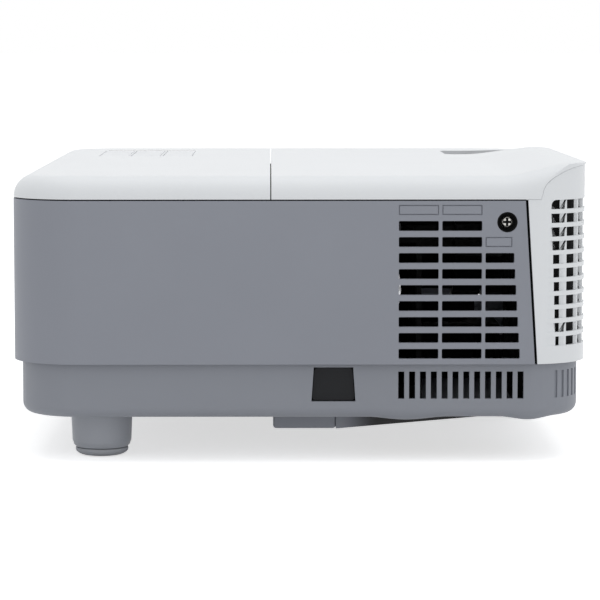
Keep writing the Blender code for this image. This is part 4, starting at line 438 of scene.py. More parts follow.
def moulded_group() -> bpy.types.NodeTree:
    """Moulded plastic: faint cloudy tone, spark-eroded grain and handled gloss."""
    found = bpy.data.node_groups.get(SurfaceGroup.MOULDED.value)
    if found:
        return found
    sheet, source, target = socketed_group(
        SurfaceGroup.MOULDED.value,
        (("Base", "NodeSocketColor", (0.5, 0.5, 0.5, 1)), ("Cloud", "NodeSocketFloat", 0.04),
         ("Grain Scale", "NodeSocketFloat", 2400.0), ("Gloss", "NodeSocketFloat", 0.5),
         ("Gloss Spread", "NodeSocketFloat", 0.06)),
        (("Color", "NodeSocketColor"), ("Roughness", "NodeSocketFloat"),
         ("Height", "NodeSocketFloat")))
    place = sheet.add("ShaderNodeTexCoord").outputs["Object"]
    cloud = sheet.add("ShaderNodeTexNoise")
    cloud.inputs["Scale"].default_value = 26
    cloud.inputs["Detail"].default_value = 3
    sheet.link(place, cloud.inputs["Vector"])
    shade = sheet.add("ShaderNodeMapRange")
    shade.inputs["From Min"].default_value = 0.3
    shade.inputs["From Max"].default_value = 0.7
    shade.inputs["To Max"].default_value = 1.0
    sheet.link(cloud.outputs["Fac"], shade.inputs["Value"])
    lower = sheet.add("ShaderNodeMath", operation="SUBTRACT")
    lower.inputs[0].default_value = 1.0
    sheet.link(source.outputs["Cloud"], lower.inputs[1])
    sheet.link(lower.outputs[0], shade.inputs["To Min"])
    tone = sheet.add("ShaderNodeVectorMath", operation="SCALE")
    sheet.link(source.outputs["Base"], tone.inputs[0])
    sheet.link(shade.outputs["Result"], tone.inputs["Scale"])
    sheet.link(tone.outputs["Vector"], target.inputs["Color"])
    rub = sheet.add("ShaderNodeTexNoise")
    rub.inputs["Scale"].default_value = 70
    rub.inputs["Detail"].default_value = 5
    sheet.link(place, rub.inputs["Vector"])
    centred = sheet.add("ShaderNodeMath", operation="SUBTRACT")
    sheet.link(rub.outputs["Fac"], centred.inputs[0])
    centred.inputs[1].default_value = 0.5
    spread = sheet.add("ShaderNodeMath", operation="MULTIPLY_ADD")
    sheet.link(centred.outputs[0], spread.inputs[0])
    sheet.link(source.outputs["Gloss Spread"], spread.inputs[1])
    sheet.link(source.outputs["Gloss"], spread.inputs[2])
    sheet.link(spread.outputs[0], target.inputs["Roughness"])
    grain = sheet.add("ShaderNodeTexNoise")
    grain.inputs["Detail"].default_value = 2
    sheet.link(place, grain.inputs["Vector"])
    sheet.link(source.outputs["Grain Scale"], grain.inputs["Scale"])
    sheet.link(grain.outputs["Fac"], target.inputs["Height"])
    return sheet.tree


def brushed_group() -> bpy.types.NodeTree:
    """Metal drawn in one direction: long fine streaks in tone, gloss and height."""
    found = bpy.data.node_groups.get(SurfaceGroup.BRUSHED.value)
    if found:
        return found
    sheet, source, target = socketed_group(
        SurfaceGroup.BRUSHED.value,
        (("Base", "NodeSocketColor", (0.5, 0.5, 0.5, 1)), ("Streak", "NodeSocketFloat", 0.12),
         ("Gloss", "NodeSocketFloat", 0.35)),
        (("Color", "NodeSocketColor"), ("Roughness", "NodeSocketFloat"),
         ("Height", "NodeSocketFloat")))
    place = sheet.add("ShaderNodeTexCoord").outputs["Object"]
    stretch = sheet.add("ShaderNodeMapping")
    stretch.inputs["Scale"].default_value = (400, 400, 4000)
    sheet.link(place, stretch.inputs["Vector"])
    streaks = sheet.add("ShaderNodeTexNoise")
    streaks.inputs["Scale"].default_value = 1
    streaks.inputs["Detail"].default_value = 4
    sheet.link(stretch.outputs["Vector"], streaks.inputs["Vector"])
    depth = sheet.add("ShaderNodeMath", operation="MULTIPLY")
    sheet.link(streaks.outputs["Fac"], depth.inputs[0])
    sheet.link(source.outputs["Streak"], depth.inputs[1])
    keep = sheet.add("ShaderNodeMath", operation="SUBTRACT")
    keep.inputs[0].default_value = 1.0
    sheet.link(depth.outputs[0], keep.inputs[1])
    tone = sheet.add("ShaderNodeVectorMath", operation="SCALE")
    sheet.link(source.outputs["Base"], tone.inputs[0])
    sheet.link(keep.outputs[0], tone.inputs["Scale"])
    sheet.link(tone.outputs["Vector"], target.inputs["Color"])
    gloss = sheet.add("ShaderNodeMath", operation="ADD")
    sheet.link(source.outputs["Gloss"], gloss.inputs[0])
    sheet.link(depth.outputs[0], gloss.inputs[1])
    sheet.link(gloss.outputs[0], target.inputs["Roughness"])
    sheet.link(streaks.outputs["Fac"], target.inputs["Height"])
    return sheet.tree


@dataclass(frozen=True)
class Finish:
    """A finish with a name and a colour; each kind sets its own shader values.

    Attributes:
        name: The material's name.
        color: Eight-bit screen colour.
        roughness: Middle of the roughness.
    """

    name: str
    color: tuple[int, int, int]
    roughness: float = 0.5

    def material(self) -> bpy.types.Material:
        """The finish as a material, made once."""
        found = bpy.data.materials.get(self.name)
        if found:
            return found
        made = bpy.data.materials.new(self.name)
        made.use_nodes = True
        sheet = NodeSheet(made.node_tree)
        self.wire(sheet, made.node_tree.nodes["Principled BSDF"])
        return made

    def wire(self, sheet: NodeSheet, shader: bpy.types.Node) -> None:
        """Add the finish's nodes in front of the shader."""
        raise NotImplementedError


@dataclass(frozen=True)
class PlasticFinish(Finish):
    """Moulded plastic.

    Attributes:
        cloud: How far the tone falls in its darker patches.
        grain_scale: Grains of the texture in a metre.
        grain_depth: Height of the texture.
        spread: How far the roughness wanders.
        specular: Strength of the plain reflection.
    """

    cloud: float = 0.03
    grain_scale: float = 2400.0
    grain_depth: float = 0.00002
    spread: float = 0.08
    specular: float = 0.4

    def wire(self, sheet: NodeSheet, shader: bpy.types.Node) -> None:
        """Feed the shader from the moulded group."""
        group = sheet.add("ShaderNodeGroup", node_tree=moulded_group())
        group.inputs["Base"].default_value = linear(self.color)
        group.inputs["Cloud"].default_value = self.cloud
        group.inputs["Grain Scale"].default_value = self.grain_scale
        group.inputs["Gloss"].default_value = self.roughness
        group.inputs["Gloss Spread"].default_value = self.spread
        sheet.link(group.outputs["Color"], shader.inputs["Base Color"])
        sheet.link(group.outputs["Roughness"], shader.inputs["Roughness"])
        bump = sheet.add("ShaderNodeBump")
        bump.inputs["Distance"].default_value = self.grain_depth
        bump.inputs["Strength"].default_value = 0.6
        sheet.link(group.outputs["Height"], bump.inputs["Height"])
        sheet.link(bump.outputs["Normal"], shader.inputs["Normal"])
        shader.inputs["Specular IOR Level"].default_value = self.specular


@dataclass(frozen=True)
class ShadePaintedPlasticFinish(PlasticFinish):
    """Moulded plastic with painted shade: its colour darkens to a second one along the depth.

    Attributes:
        shade_color: Screen colour of the painted shade at its darkest.
        shade_rear_y: Where the painted shade starts.
        shade_front_y: Where the painted shade is full.
    """

    shade_color: tuple[int, int, int] = (14, 14, 15)
    shade_rear_y: float = -0.0138
    shade_front_y: float = -0.0300

    def wire(self, sheet: NodeSheet, shader: bpy.types.Node) -> None:
        """Feed the moulded group with the colour that darkens into the painted shade."""
        super().wire(sheet, shader)
        place = sheet.add("ShaderNodeTexCoord").outputs["Object"]
        parts = sheet.add("ShaderNodeSeparateXYZ")
        sheet.link(place, parts.inputs[0])
        # Painted shade: the colour darkens towards the front of the ramp.
        shade_blend = sheet.add("ShaderNodeMapRange", interpolation_type="SMOOTHSTEP")
        shade_blend.inputs["From Min"].default_value = self.shade_front_y
        shade_blend.inputs["From Max"].default_value = self.shade_rear_y
        sheet.link(parts.outputs["Y"], shade_blend.inputs["Value"])
        mix = sheet.add("ShaderNodeMix", data_type="RGBA")
        sheet.link(shade_blend.outputs["Result"], mix.inputs["Factor"])
        mix.inputs[6].default_value = linear(self.shade_color)
        mix.inputs[7].default_value = linear(self.color)
        group = next(node for node in sheet.tree.nodes if node.type == "GROUP")
        sheet.link(mix.outputs[2], group.inputs["Base"])


@dataclass(frozen=True)
class MetalFinish(Finish):
    """Drawn or plated metal.

    Attributes:
        streak: How far the tone and the gloss wander along the streaks.
    """

    streak: float = 0.12

    def wire(self, sheet: NodeSheet, shader: bpy.types.Node) -> None:
        """Feed the shader from the brushed group."""
        group = sheet.add("ShaderNodeGroup", node_tree=brushed_group())
        group.inputs["Base"].default_value = linear(self.color)
        group.inputs["Streak"].default_value = self.streak
        group.inputs["Gloss"].default_value = self.roughness
        sheet.link(group.outputs["Color"], shader.inputs["Base Color"])
        sheet.link(group.outputs["Roughness"], shader.inputs["Roughness"])
        bump = sheet.add("ShaderNodeBump")
        bump.inputs["Distance"].default_value = BITE / 100
        bump.inputs["Strength"].default_value = 0.3
        sheet.link(group.outputs["Height"], bump.inputs["Height"])
        sheet.link(bump.outputs["Normal"], shader.inputs["Normal"])
        shader.inputs["Metallic"].default_value = 1.0


@dataclass(frozen=True)
class GlassFinish(Finish):
    """Coated glass that lets light through, with a coloured reflection.

    Attributes:
        coat: Screen colour of the coating's reflection.
    """

    coat: tuple[int, int, int] = (150, 120, 220)

    def wire(self, sheet: NodeSheet, shader: bpy.types.Node) -> None:
        """Set the shader, with a faint tone that wanders over the glass."""
        place = sheet.add("ShaderNodeTexCoord").outputs["Object"]
        noise = sheet.add("ShaderNodeTexNoise")
        noise.inputs["Scale"].default_value = 90
        sheet.link(place, noise.inputs["Vector"])
        ramp = sheet.add("ShaderNodeMapRange")
        ramp.inputs["To Min"].default_value = self.roughness
        ramp.inputs["To Max"].default_value = self.roughness + 0.04
        sheet.link(noise.outputs["Fac"], ramp.inputs["Value"])
        sheet.link(ramp.outputs["Result"], shader.inputs["Roughness"])
        shader.inputs["Base Color"].default_value = linear(self.color)
        shader.inputs["Transmission Weight"].default_value = 1.0
        shader.inputs["IOR"].default_value = 1.5
        shader.inputs["Coat Weight"].default_value = 0.6
        shader.inputs["Coat Tint"].default_value = linear(self.coat)


@dataclass(frozen=True)
class BoardFinish(Finish):
    """Circuit board: lacquer over fine copper tracks.

    Attributes:
        track: Screen colour of the lacquer over copper.
        pitch: Tracks in a metre.
    """

    track: tuple[int, int, int] = (38, 120, 70)
    pitch: float = 420.0

    def wire(self, sheet: NodeSheet, shader: bpy.types.Node) -> None:
        """Mix two lacquer tones by a pattern of straight cells."""
        place = sheet.add("ShaderNodeTexCoord").outputs["Object"]
        cells = sheet.add("ShaderNodeTexVoronoi", distance="CHEBYCHEV")
        cells.inputs["Scale"].default_value = self.pitch
        sheet.link(place, cells.inputs["Vector"])
        edge = sheet.add("ShaderNodeMath", operation="GREATER_THAN")
        edge.inputs[1].default_value = 0.45
        sheet.link(cells.outputs["Distance"], edge.inputs[0])
        mix = sheet.add("ShaderNodeMix", data_type="RGBA")
        sheet.link(edge.outputs[0], mix.inputs["Factor"])
        mix.inputs[6].default_value = linear(self.color)
        mix.inputs[7].default_value = linear(self.track)
        sheet.link(mix.outputs[2], shader.inputs["Base Color"])
        shader.inputs["Roughness"].default_value = self.roughness


FINISHES: dict[str, Finish] = {
    "white_shell": PlasticFinish("white_satin", (240, 242, 244), 0.42, cloud=0.012),
    "grey_shell": PlasticFinish("grey_satin", (149, 152, 161), 0.50, cloud=0.03),
    # Painted shade: ramp grey that darkens to near black towards the front.
    "ramp_shade": ShadePaintedPlasticFinish("ramp_satin_painted_shade", (147, 150, 158), 0.52, cloud=0.03),
    "tub_grey": PlasticFinish("tub_satin", (147, 150, 158), 0.52, cloud=0.03),
    "foot_grey": PlasticFinish("foot_satin", (174, 177, 184), 0.48, cloud=0.03),
    "pad_rubber": PlasticFinish("pad_rubber_dull", (188, 190, 195), 0.82, cloud=0.08,
                                grain_scale=1500.0, grain_depth=0.00004, specular=0.25),
    "dark_plastic": PlasticFinish("charcoal_grain", (28, 29, 32), 0.55, cloud=0.06, specular=0.22),
    "lens_black": PlasticFinish("lens_satin_black", (30, 30, 32), 0.38, cloud=0.05),
    "inner_black": PlasticFinish("inner_dull_black", (14, 14, 15), 0.80, cloud=0.10,
                                 specular=0.2),
    "key_plastic": PlasticFinish("key_satin", (236, 238, 241), 0.36, cloud=0.01),
    "handle_plastic": PlasticFinish("handle_satin", (190, 191, 194), 0.50),
    "board_green": BoardFinish("board_lacquer", (24, 84, 48), 0.42),
    "sink_metal": MetalFinish("sink_aluminium", (205, 206, 209), 0.34),
    "screw_steel": MetalFinish("screw_zinc", (205, 203, 198), 0.24, streak=0.2),
    "port_metal": MetalFinish("port_nickel", (190, 190, 192), 0.26),
    "clear_glass": GlassFinish("coated_glass", (236, 242, 246), 0.02),
    "wheel_glass": GlassFinish("dichroic_glass", (196, 150, 205), 0.05),
    "reflector": MetalFinish("reflector_mirror", (225, 226, 229), 0.08, streak=0.02),
    "jack_blue": PlasticFinish("jack_blue_satin", (34, 66, 156), 0.42, cloud=0.05),
    "jack_yellow": PlasticFinish("jack_yellow_satin", (222, 180, 30), 0.42, cloud=0.05),
    "window_dark": PlasticFinish("smoked_window", (30, 14, 20), 0.08, cloud=0.05, spread=0.02,
                                 grain_depth=0.0, specular=0.6),
}


def dress(piece: bpy.types.Object, slot: str, body: str = ROOT,
          nodes: Sequence[str] = ()) -> bpy.types.Object:
    """Give a finished piece its material, its body and the nodes it stands for.

    Args:
        piece: The finished piece.
        slot: The record's material slot, which names the finish.
        body: The body it rides on.
        nodes: The nodes of the frame that it replaces.

    Returns:
        The same piece.
    """
    piece.data.materials.clear()
    piece.data.materials.append(FINISHES[slot].material())
    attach(piece, body)
    if nodes:
        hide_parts(*nodes)
    LOG.info("%s rides on %s", piece.name, body)
    return piece


# Casing


@dataclass
class Casing:
    """Sizes that the shells share."""

    wall: float = 0.0022
    front_radius: float = 0.024
    rear_radius: float = 0.026
    seam_z: float = 0.0994
    seam_gap: float = 0.0005
    rim_z: float = 0.0372
    gap: float = 0.0003
    top_z: float = 0.108
    slant_top_y: float = -0.0841
    slant_bottom_y: float = -0.0880
    bezel_gap: float = 0.0010
    edge: float = 0.0003

    def slant_y(self, height: float) -> float:
        """Place of the slanted joint at a height."""
        share = (height - self.rim_z) / (self.seam_z - self.rim_z)
        return self.slant_bottom_y + (self.slant_top_y - self.slant_bottom_y) * share

    def slant_normal(self) -> Vector:
        """Unit normal of the slanted joint, towards the front."""
        rise = self.seam_z - self.rim_z
        run = self.slant_top_y - self.slant_bottom_y
        return Vector((0, -rise, run)).normalized()

    def tube(self, name: str, inset: float, wall: float, low_z: float,
             high_z: float) -> bpy.types.Object:
        """Upright wall that follows the body's plan."""
        made = rounded_block(name, (NEAR_X + inset, FRONT_Y + inset, low_z),
                             (FAR_X - inset, REAR_Y - inset, high_z),
                             self.front_radius - inset, self.rear_radius - inset)
        open_and_thicken(made, wall, True, True)
        return made


@dataclass
class SideWall(Casing):
    """Grey wall of the sides and the rear, with its vents, blind vents and screw well."""

    vent_rows: int = 9
    vent_columns: int = 3
    vent_pitch: float = 0.0060
    vent_height: float = 0.0037
    vent_top_z: float = 0.0895
    vent_first_y: float = -0.0368
    vent_width: float = 0.0149
    vent_column_pitch: float = 0.0162
    vent_margin: float = 0.0055
    vent_corner: float = 0.00045
    last_column_skips: int = 2
    groove: float = 0.00035
    groove_depth: float = 0.00055
    intake_rows: int = 7
    intake_columns: int = 3
    intake_top_z: float = 0.0830
    intake_first_y: float = -0.0300
    intake_width: float = 0.0190
    intake_column_pitch: float = 0.0230
    well_radius: float = 0.0038
    well_depth: float = 0.0036
    well_wall: float = 0.0015
    shade_lining: float = 0.0004

    def vent_span(self, column: int, height: float) -> tuple[float, float]:
        """Front and rear end of a vent slot."""
        rear = self.vent_first_y - column * self.vent_column_pitch
        if column == self.vent_columns - 1:
            return self.slant_y(height) + self.vent_margin, rear
        return rear - self.vent_width, rear

    def slots(self) -> list[bpy.types.Object]:
        """Tools of the near vents and the far intake slots."""
        tools = []
        half = self.vent_height / 2
        for column in range(self.vent_columns):
            last = column == self.vent_columns - 1
            for row in range(self.last_column_skips if last else 0, self.vent_rows):
                height = self.vent_top_z - row * self.vent_pitch
                front, rear = self.vent_span(column, height)
                tools.append(soft_block("slot", (NEAR_X - OVERRUN, front, height - half),
                                        (NEAR_X + self.wall + OVERRUN, rear, height + half),
                                        self.vent_corner, Axis.X))
        for column in range(self.intake_columns):
            front = self.intake_first_y + column * self.intake_column_pitch
            for row in range(self.intake_rows):
                height = self.intake_top_z - row * self.vent_pitch
                tools.append(soft_block("slot", (FAR_X - self.wall - OVERRUN, front,
                                                 height - half),
                                        (FAR_X + OVERRUN, front + self.intake_width,
                                         height + half), self.vent_corner, Axis.X))
        return tools

    def blind_vents(self) -> list[bpy.types.Object]:
        """Tools of the fine outlines where a vent slot is left closed."""
        rings = []
        places = [(0, -1), (1, -1), (self.vent_columns - 1, self.last_column_skips - 1)]
        for column, row in places:
            height = self.vent_top_z - row * self.vent_pitch
            front, rear = self.vent_span(column, height)
            if row > 0:
                front += self.vent_corner
            half = self.vent_height / 2
            ring = block("outline", (NEAR_X - OVERRUN, front, height - half),
                         (NEAR_X + self.groove_depth, rear, height + half))
            with editing(ring):
                pick_faces(lambda centre, normal: abs(normal.x) > 0.9)
                bpy.ops.mesh.inset(thickness=self.groove, use_individual=True)
                bpy.ops.mesh.bridge_edge_loops()
            rings.append(ring)
        return rings

    def rear_windows(self) -> list[bpy.types.Object]:
        """Tools of the openings for the connector plate and the mains inlet."""
        tools = []
        for name, lap in (("connector_plate", 0.003), ("mains_inlet", 0.0024)):
            low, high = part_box(name)
            slack = 0 if name == "connector_plate" else self.gap
            tools.append(soft_block("window", (low.x + lap - slack, REAR_Y - self.wall - OVERRUN,
                                               low.z + lap - slack),
                                    (high.x - lap + slack, REAR_Y + OVERRUN,
                                     high.z - lap + slack), 0.0012 - slack, Axis.Y))
        return tools

    def build(self) -> list[bpy.types.Object]:
        """Make the wall and the black lining of its screw well, which paints the shade in the well.
        """
        wall = self.tube("side_wall", 0, self.wall, self.rim_z + self.gap,
                         self.seam_z - self.seam_gap)
        well = (SCREW_Y, SCREW_Z)
        end_x = NEAR_X + self.well_depth + self.well_wall
        sleeve = rod("sleeve", Axis.X, well, self.well_radius + self.well_wall, NEAR_X + BITE,
                     end_x)
        carve(wall, [sleeve], Carve.JOIN)
        trim(wall, (0, self.slant_top_y, self.seam_z), self.slant_normal())
        carve(wall, self.slots() + self.rear_windows()
              + [rod("well", Axis.X, well, self.well_radius, NEAR_X - OVERRUN,
                     NEAR_X + self.well_depth)])
        carve(wall, self.blind_vents())
        soften(wall, self.edge / 2)
        dress(wall, "grey_shell", nodes=("middle_case",))

        # Black lining inside the screw well: painted shade in the recess.
        inner = self.well_radius - self.shade_lining
        deep = NEAR_X + self.well_depth - self.gap / 3
        shade_lining = turned("screw_well_shade_lining", Axis.X, well,
                       ((self.well_radius - self.gap / 5, NEAR_X + self.shade_lining),
                        (inner, NEAR_X + self.shade_lining), (inner, deep - self.shade_lining),
                        (self.shade_lining * 4, deep - self.shade_lining), (self.shade_lining * 4, deep),
                        (self.well_radius - self.gap / 5, deep)))
        finish_shading(shade_lining)
        dress(shade_lining, "inner_black")
        return [wall, shade_lining]


@dataclass
class LowerCase(Casing):
    """Grey tub with its upright slots, corner grooves, foot seats and bar block."""

    inset: float = 0.0030
    bottom_z: float = 0.0170
    base_radius: float = 0.0040
    slots: int = 12
    slot_pitch: float = 0.00408
    slot_width: float = 0.0023
    slot_first_y: float = -0.0380
    slot_low_z: float = 0.0242
    slot_high_z: float = 0.0345
    groove_width: float = 0.0014
    groove_depth: float = 0.0006
    groove_pitch: float = 0.0034
    groove_count: int = 19
    groove_start_y: float = -0.0972
    boss_radius: float = 0.0065
    boss_hole: float = 0.0018
    boss_drop: float = 0.0012
    boss_hole_depth: float = 0.0030
    block_round: float = 0.0012
    bar_middle_y: float = -0.0125
    bar_low_z: float = 0.0235
    bar_high_z: float = 0.0358
    bar_base: float = 0.0160
    bar_top: float = 0.0142
    bar_corner: float = 0.0012
    bar_rim: float = 0.0006
    block_near_x: float = -0.1280
    block_far_x: float = -0.0880
    block_rear_y: float = 0.0102
    block_front_y: float = -0.0138
    block_bottom_z: float = 0.0108
    ramp_end_y: float = -0.0860
    stem_hole: float = 0.0045
    bulge_depth: float = 0.0012
    bulge_rear_y: float = -0.0240
    bulge_far_x: float = -0.1300
    bulge_step: float = 0.0025
    bulges: tuple[tuple[float, float], ...] = ((-0.0400, 0.0160), (-0.0860, 0.0110))
    boss_places: tuple[tuple[float, float], ...] = ((-0.48, 0.55), (0.48, 0.18), (0.58, -0.64))

    def tray(self) -> bpy.types.Object:
        """The open tray with its rounded base."""
        made = rounded_block("tub", (NEAR_X + self.inset, FRONT_Y + self.inset, self.bottom_z),
                             (FAR_X - self.inset, REAR_Y - self.inset, self.rim_z),
                             self.front_radius - self.inset, self.rear_radius - self.inset)
        with editing(made, "EDGE"):
            pick_edges(lambda middle, along: middle.z < self.bottom_z + BITE / 5
                       and abs(along.z) < 0.1)
            bpy.ops.mesh.bevel(offset=self.base_radius, segments=8, affect="EDGES", profile=0.5)
        with editing(made):
            steps = int((self.bulge_rear_y - FRONT_Y) / self.bulge_step)
            for number in range(steps):
                bpy.ops.mesh.select_all(action="SELECT")
                bpy.ops.mesh.bisect(plane_co=(0, FRONT_Y + (number + 1) * self.bulge_step, 0),
                                    plane_no=(0, 1, 0))
            bpy.ops.mesh.select_all(action="SELECT")
            bpy.ops.mesh.bisect(plane_co=(self.bulge_far_x, 0, 0), plane_no=(1, 0, 0))
        for vert in made.data.vertices:
            if vert.co.z < self.bottom_z + self.base_radius and vert.co.x < self.bulge_far_x - BITE:
                share = 1 - (vert.co.z - self.bottom_z) / self.base_radius
                vert.co.z -= self.bulge(vert.co.y) * max(0.0, min(1.0, share))
        open_and_thicken(made, self.wall, True, False)
        return made

    def bulge(self, y: float) -> float:
        """How far the lower near edge swells down at a place along the depth."""
        drop = 0.0
        for middle, reach in self.bulges:
            if abs(y - middle) < reach:
                drop += self.bulge_depth * math.cos((y - middle) / reach * math.pi / 2) ** 2
        return drop

    def side_slots(self) -> list[bpy.types.Object]:
        """Tools of the through slots on both sides."""
        tools = []
        half = self.slot_width / 2
        depth = self.inset + self.wall + OVERRUN / 2
        for low_x, high_x in ((NEAR_X, NEAR_X + depth), (FAR_X - depth, FAR_X)):
            for number in range(self.slots):
                y = self.slot_first_y - number * self.slot_pitch
                tools.append(block("slot", (low_x, y - half, self.slot_low_z),
                                   (high_x, y + half, self.slot_high_z)))
        return tools

    def corner_grooves(self) -> list[bpy.types.Object]:
        """Tools of the blind upright grooves that run round the front near corner."""
        radius = self.front_radius - self.inset
        centre = Vector((NEAR_X + self.front_radius, FRONT_Y + self.front_radius, 0))
        reach = radius * math.pi / 2
        start = centre.y - self.groove_start_y
        tools = []
        for number in range(self.groove_count):
            run = start + number * self.groove_pitch
            if run < reach:
                angle = math.pi + run / radius
                spot = centre + Vector((math.cos(angle), math.sin(angle), 0)) * radius
            else:
                angle = 1.5 * math.pi
                spot = centre + Vector((run - reach, -radius, 0))
            low_z = self.slot_low_z
            tool = block("groove", (-self.groove_depth, -self.groove_width / 2, low_z),
                         (self.groove_depth, self.groove_width / 2, self.slot_high_z))
            tool.rotation_euler = (0, 0, angle)
            tool.location = spot
            tools.append(settle_place(tool, "groove"))
        return tools

    def build(self) -> list[bpy.types.Object]:
        """Make the tub, the ramp in front of its block and the bar's insert."""
        tub = self.tray()
        feet = [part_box(name) for name in ("near_rear_foot", "far_rear_foot", "front_foot")]
        centres = [((low.x + high.x) / 2, (low.y + high.y) / 2) for low, high in feet]
        bosses = []
        for across, along in self.boss_places:
            spot = (FAR_X * across, REAR_Y * along)
            bosses.append(rod("boss", Axis.Z, spot, self.boss_radius,
                              self.bottom_z - self.boss_drop, self.bottom_z + BITE))
        for spot in centres:
            bosses.append(rod("seat", Axis.Z, spot, 2 * self.stem_hole, self.bottom_z + BITE,
                              self.rim_z - self.wall))
        base = block("bar_block", (self.block_near_x, self.block_front_y, self.block_bottom_z),
                     (self.block_far_x, self.block_rear_y, self.bottom_z + BITE))
        with editing(base, "EDGE"):
            pick_edges(lambda middle, along: middle.z < self.bottom_z)
            bpy.ops.mesh.bevel(offset=self.block_round, segments=4, affect="EDGES", profile=0.5)
        carve(tub, bosses + [base], Carve.JOIN)
        holes = [rod("stem", Axis.Z, spot, self.stem_hole, 0, self.rim_z) for spot in centres]
        for across, along in self.boss_places:
            holes.append(rod("hole", Axis.Z, (FAR_X * across, REAR_Y * along), self.boss_hole,
                             0, self.bottom_z - self.boss_drop + self.boss_hole_depth))
        carve(tub, holes)
        carve(tub, self.side_slots() + [self.bar_opening(self.gap)])
        carve(tub, self.corner_grooves())
        soften(tub, self.edge / 2)
        dress(tub, "tub_grey", nodes=("bottom_case",))

        face = self.block_front_y
        outline = ((face, self.block_bottom_z), (face, self.bottom_z - self.gap / 3),
                   (self.ramp_end_y, self.bottom_z - self.gap / 3))
        ramp = prism("bar_ramp", outline, Axis.X, self.block_near_x, self.block_far_x)
        finish_shading(ramp)
        # The ramp's grey darkens to near black towards the front: painted shade.
        dress(ramp, "ramp_shade")
        return [tub, ramp, self.insert()]

    def bar_opening(self, grow: float) -> bpy.types.Object:
        """Tool for the trapezoid opening in the near wall."""
        return prism("bar_opening", self.bar_outline(grow), Axis.X, NEAR_X,
                     NEAR_X + self.inset + self.wall + OVERRUN / 2)

    def bar_outline(self, grow: float) -> Outline:
        """Trapezoid of the insert as (y, z) points, grown all round."""
        middle_y, low, high = self.bar_middle_y, self.bar_low_z - grow, self.bar_high_z + grow
        base = self.bar_base / 2 + grow
        top = self.bar_top / 2 + grow
        return ((middle_y - base, low), (middle_y + base, low), (middle_y + top, high),
                (middle_y - top, high))

    def insert(self) -> bpy.types.Object:
        """Dark trapezoid insert with rounded corners and a soft raised rim."""
        face_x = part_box("security_bar_cover")[0].x
        made = prism("bar_insert", self.bar_outline(0), Axis.X, face_x, face_x + self.wall)
        with editing(made, "EDGE"):
            pick_edges(lambda middle, along: abs(along.x) > 0.9)
            bpy.ops.mesh.bevel(offset=self.bar_corner, segments=5, affect="EDGES", profile=0.5)
        with editing(made):
            pick_faces(lambda centre, normal: normal.x < -0.9)
            bpy.ops.mesh.inset(thickness=self.bar_rim)
            bpy.ops.transform.translate(value=(self.groove_depth / 2, 0, 0))
        soften(made, self.edge / 2, angle=math.radians(25))
        return dress(made, "dark_plastic", nodes=("security_bar_cover",))


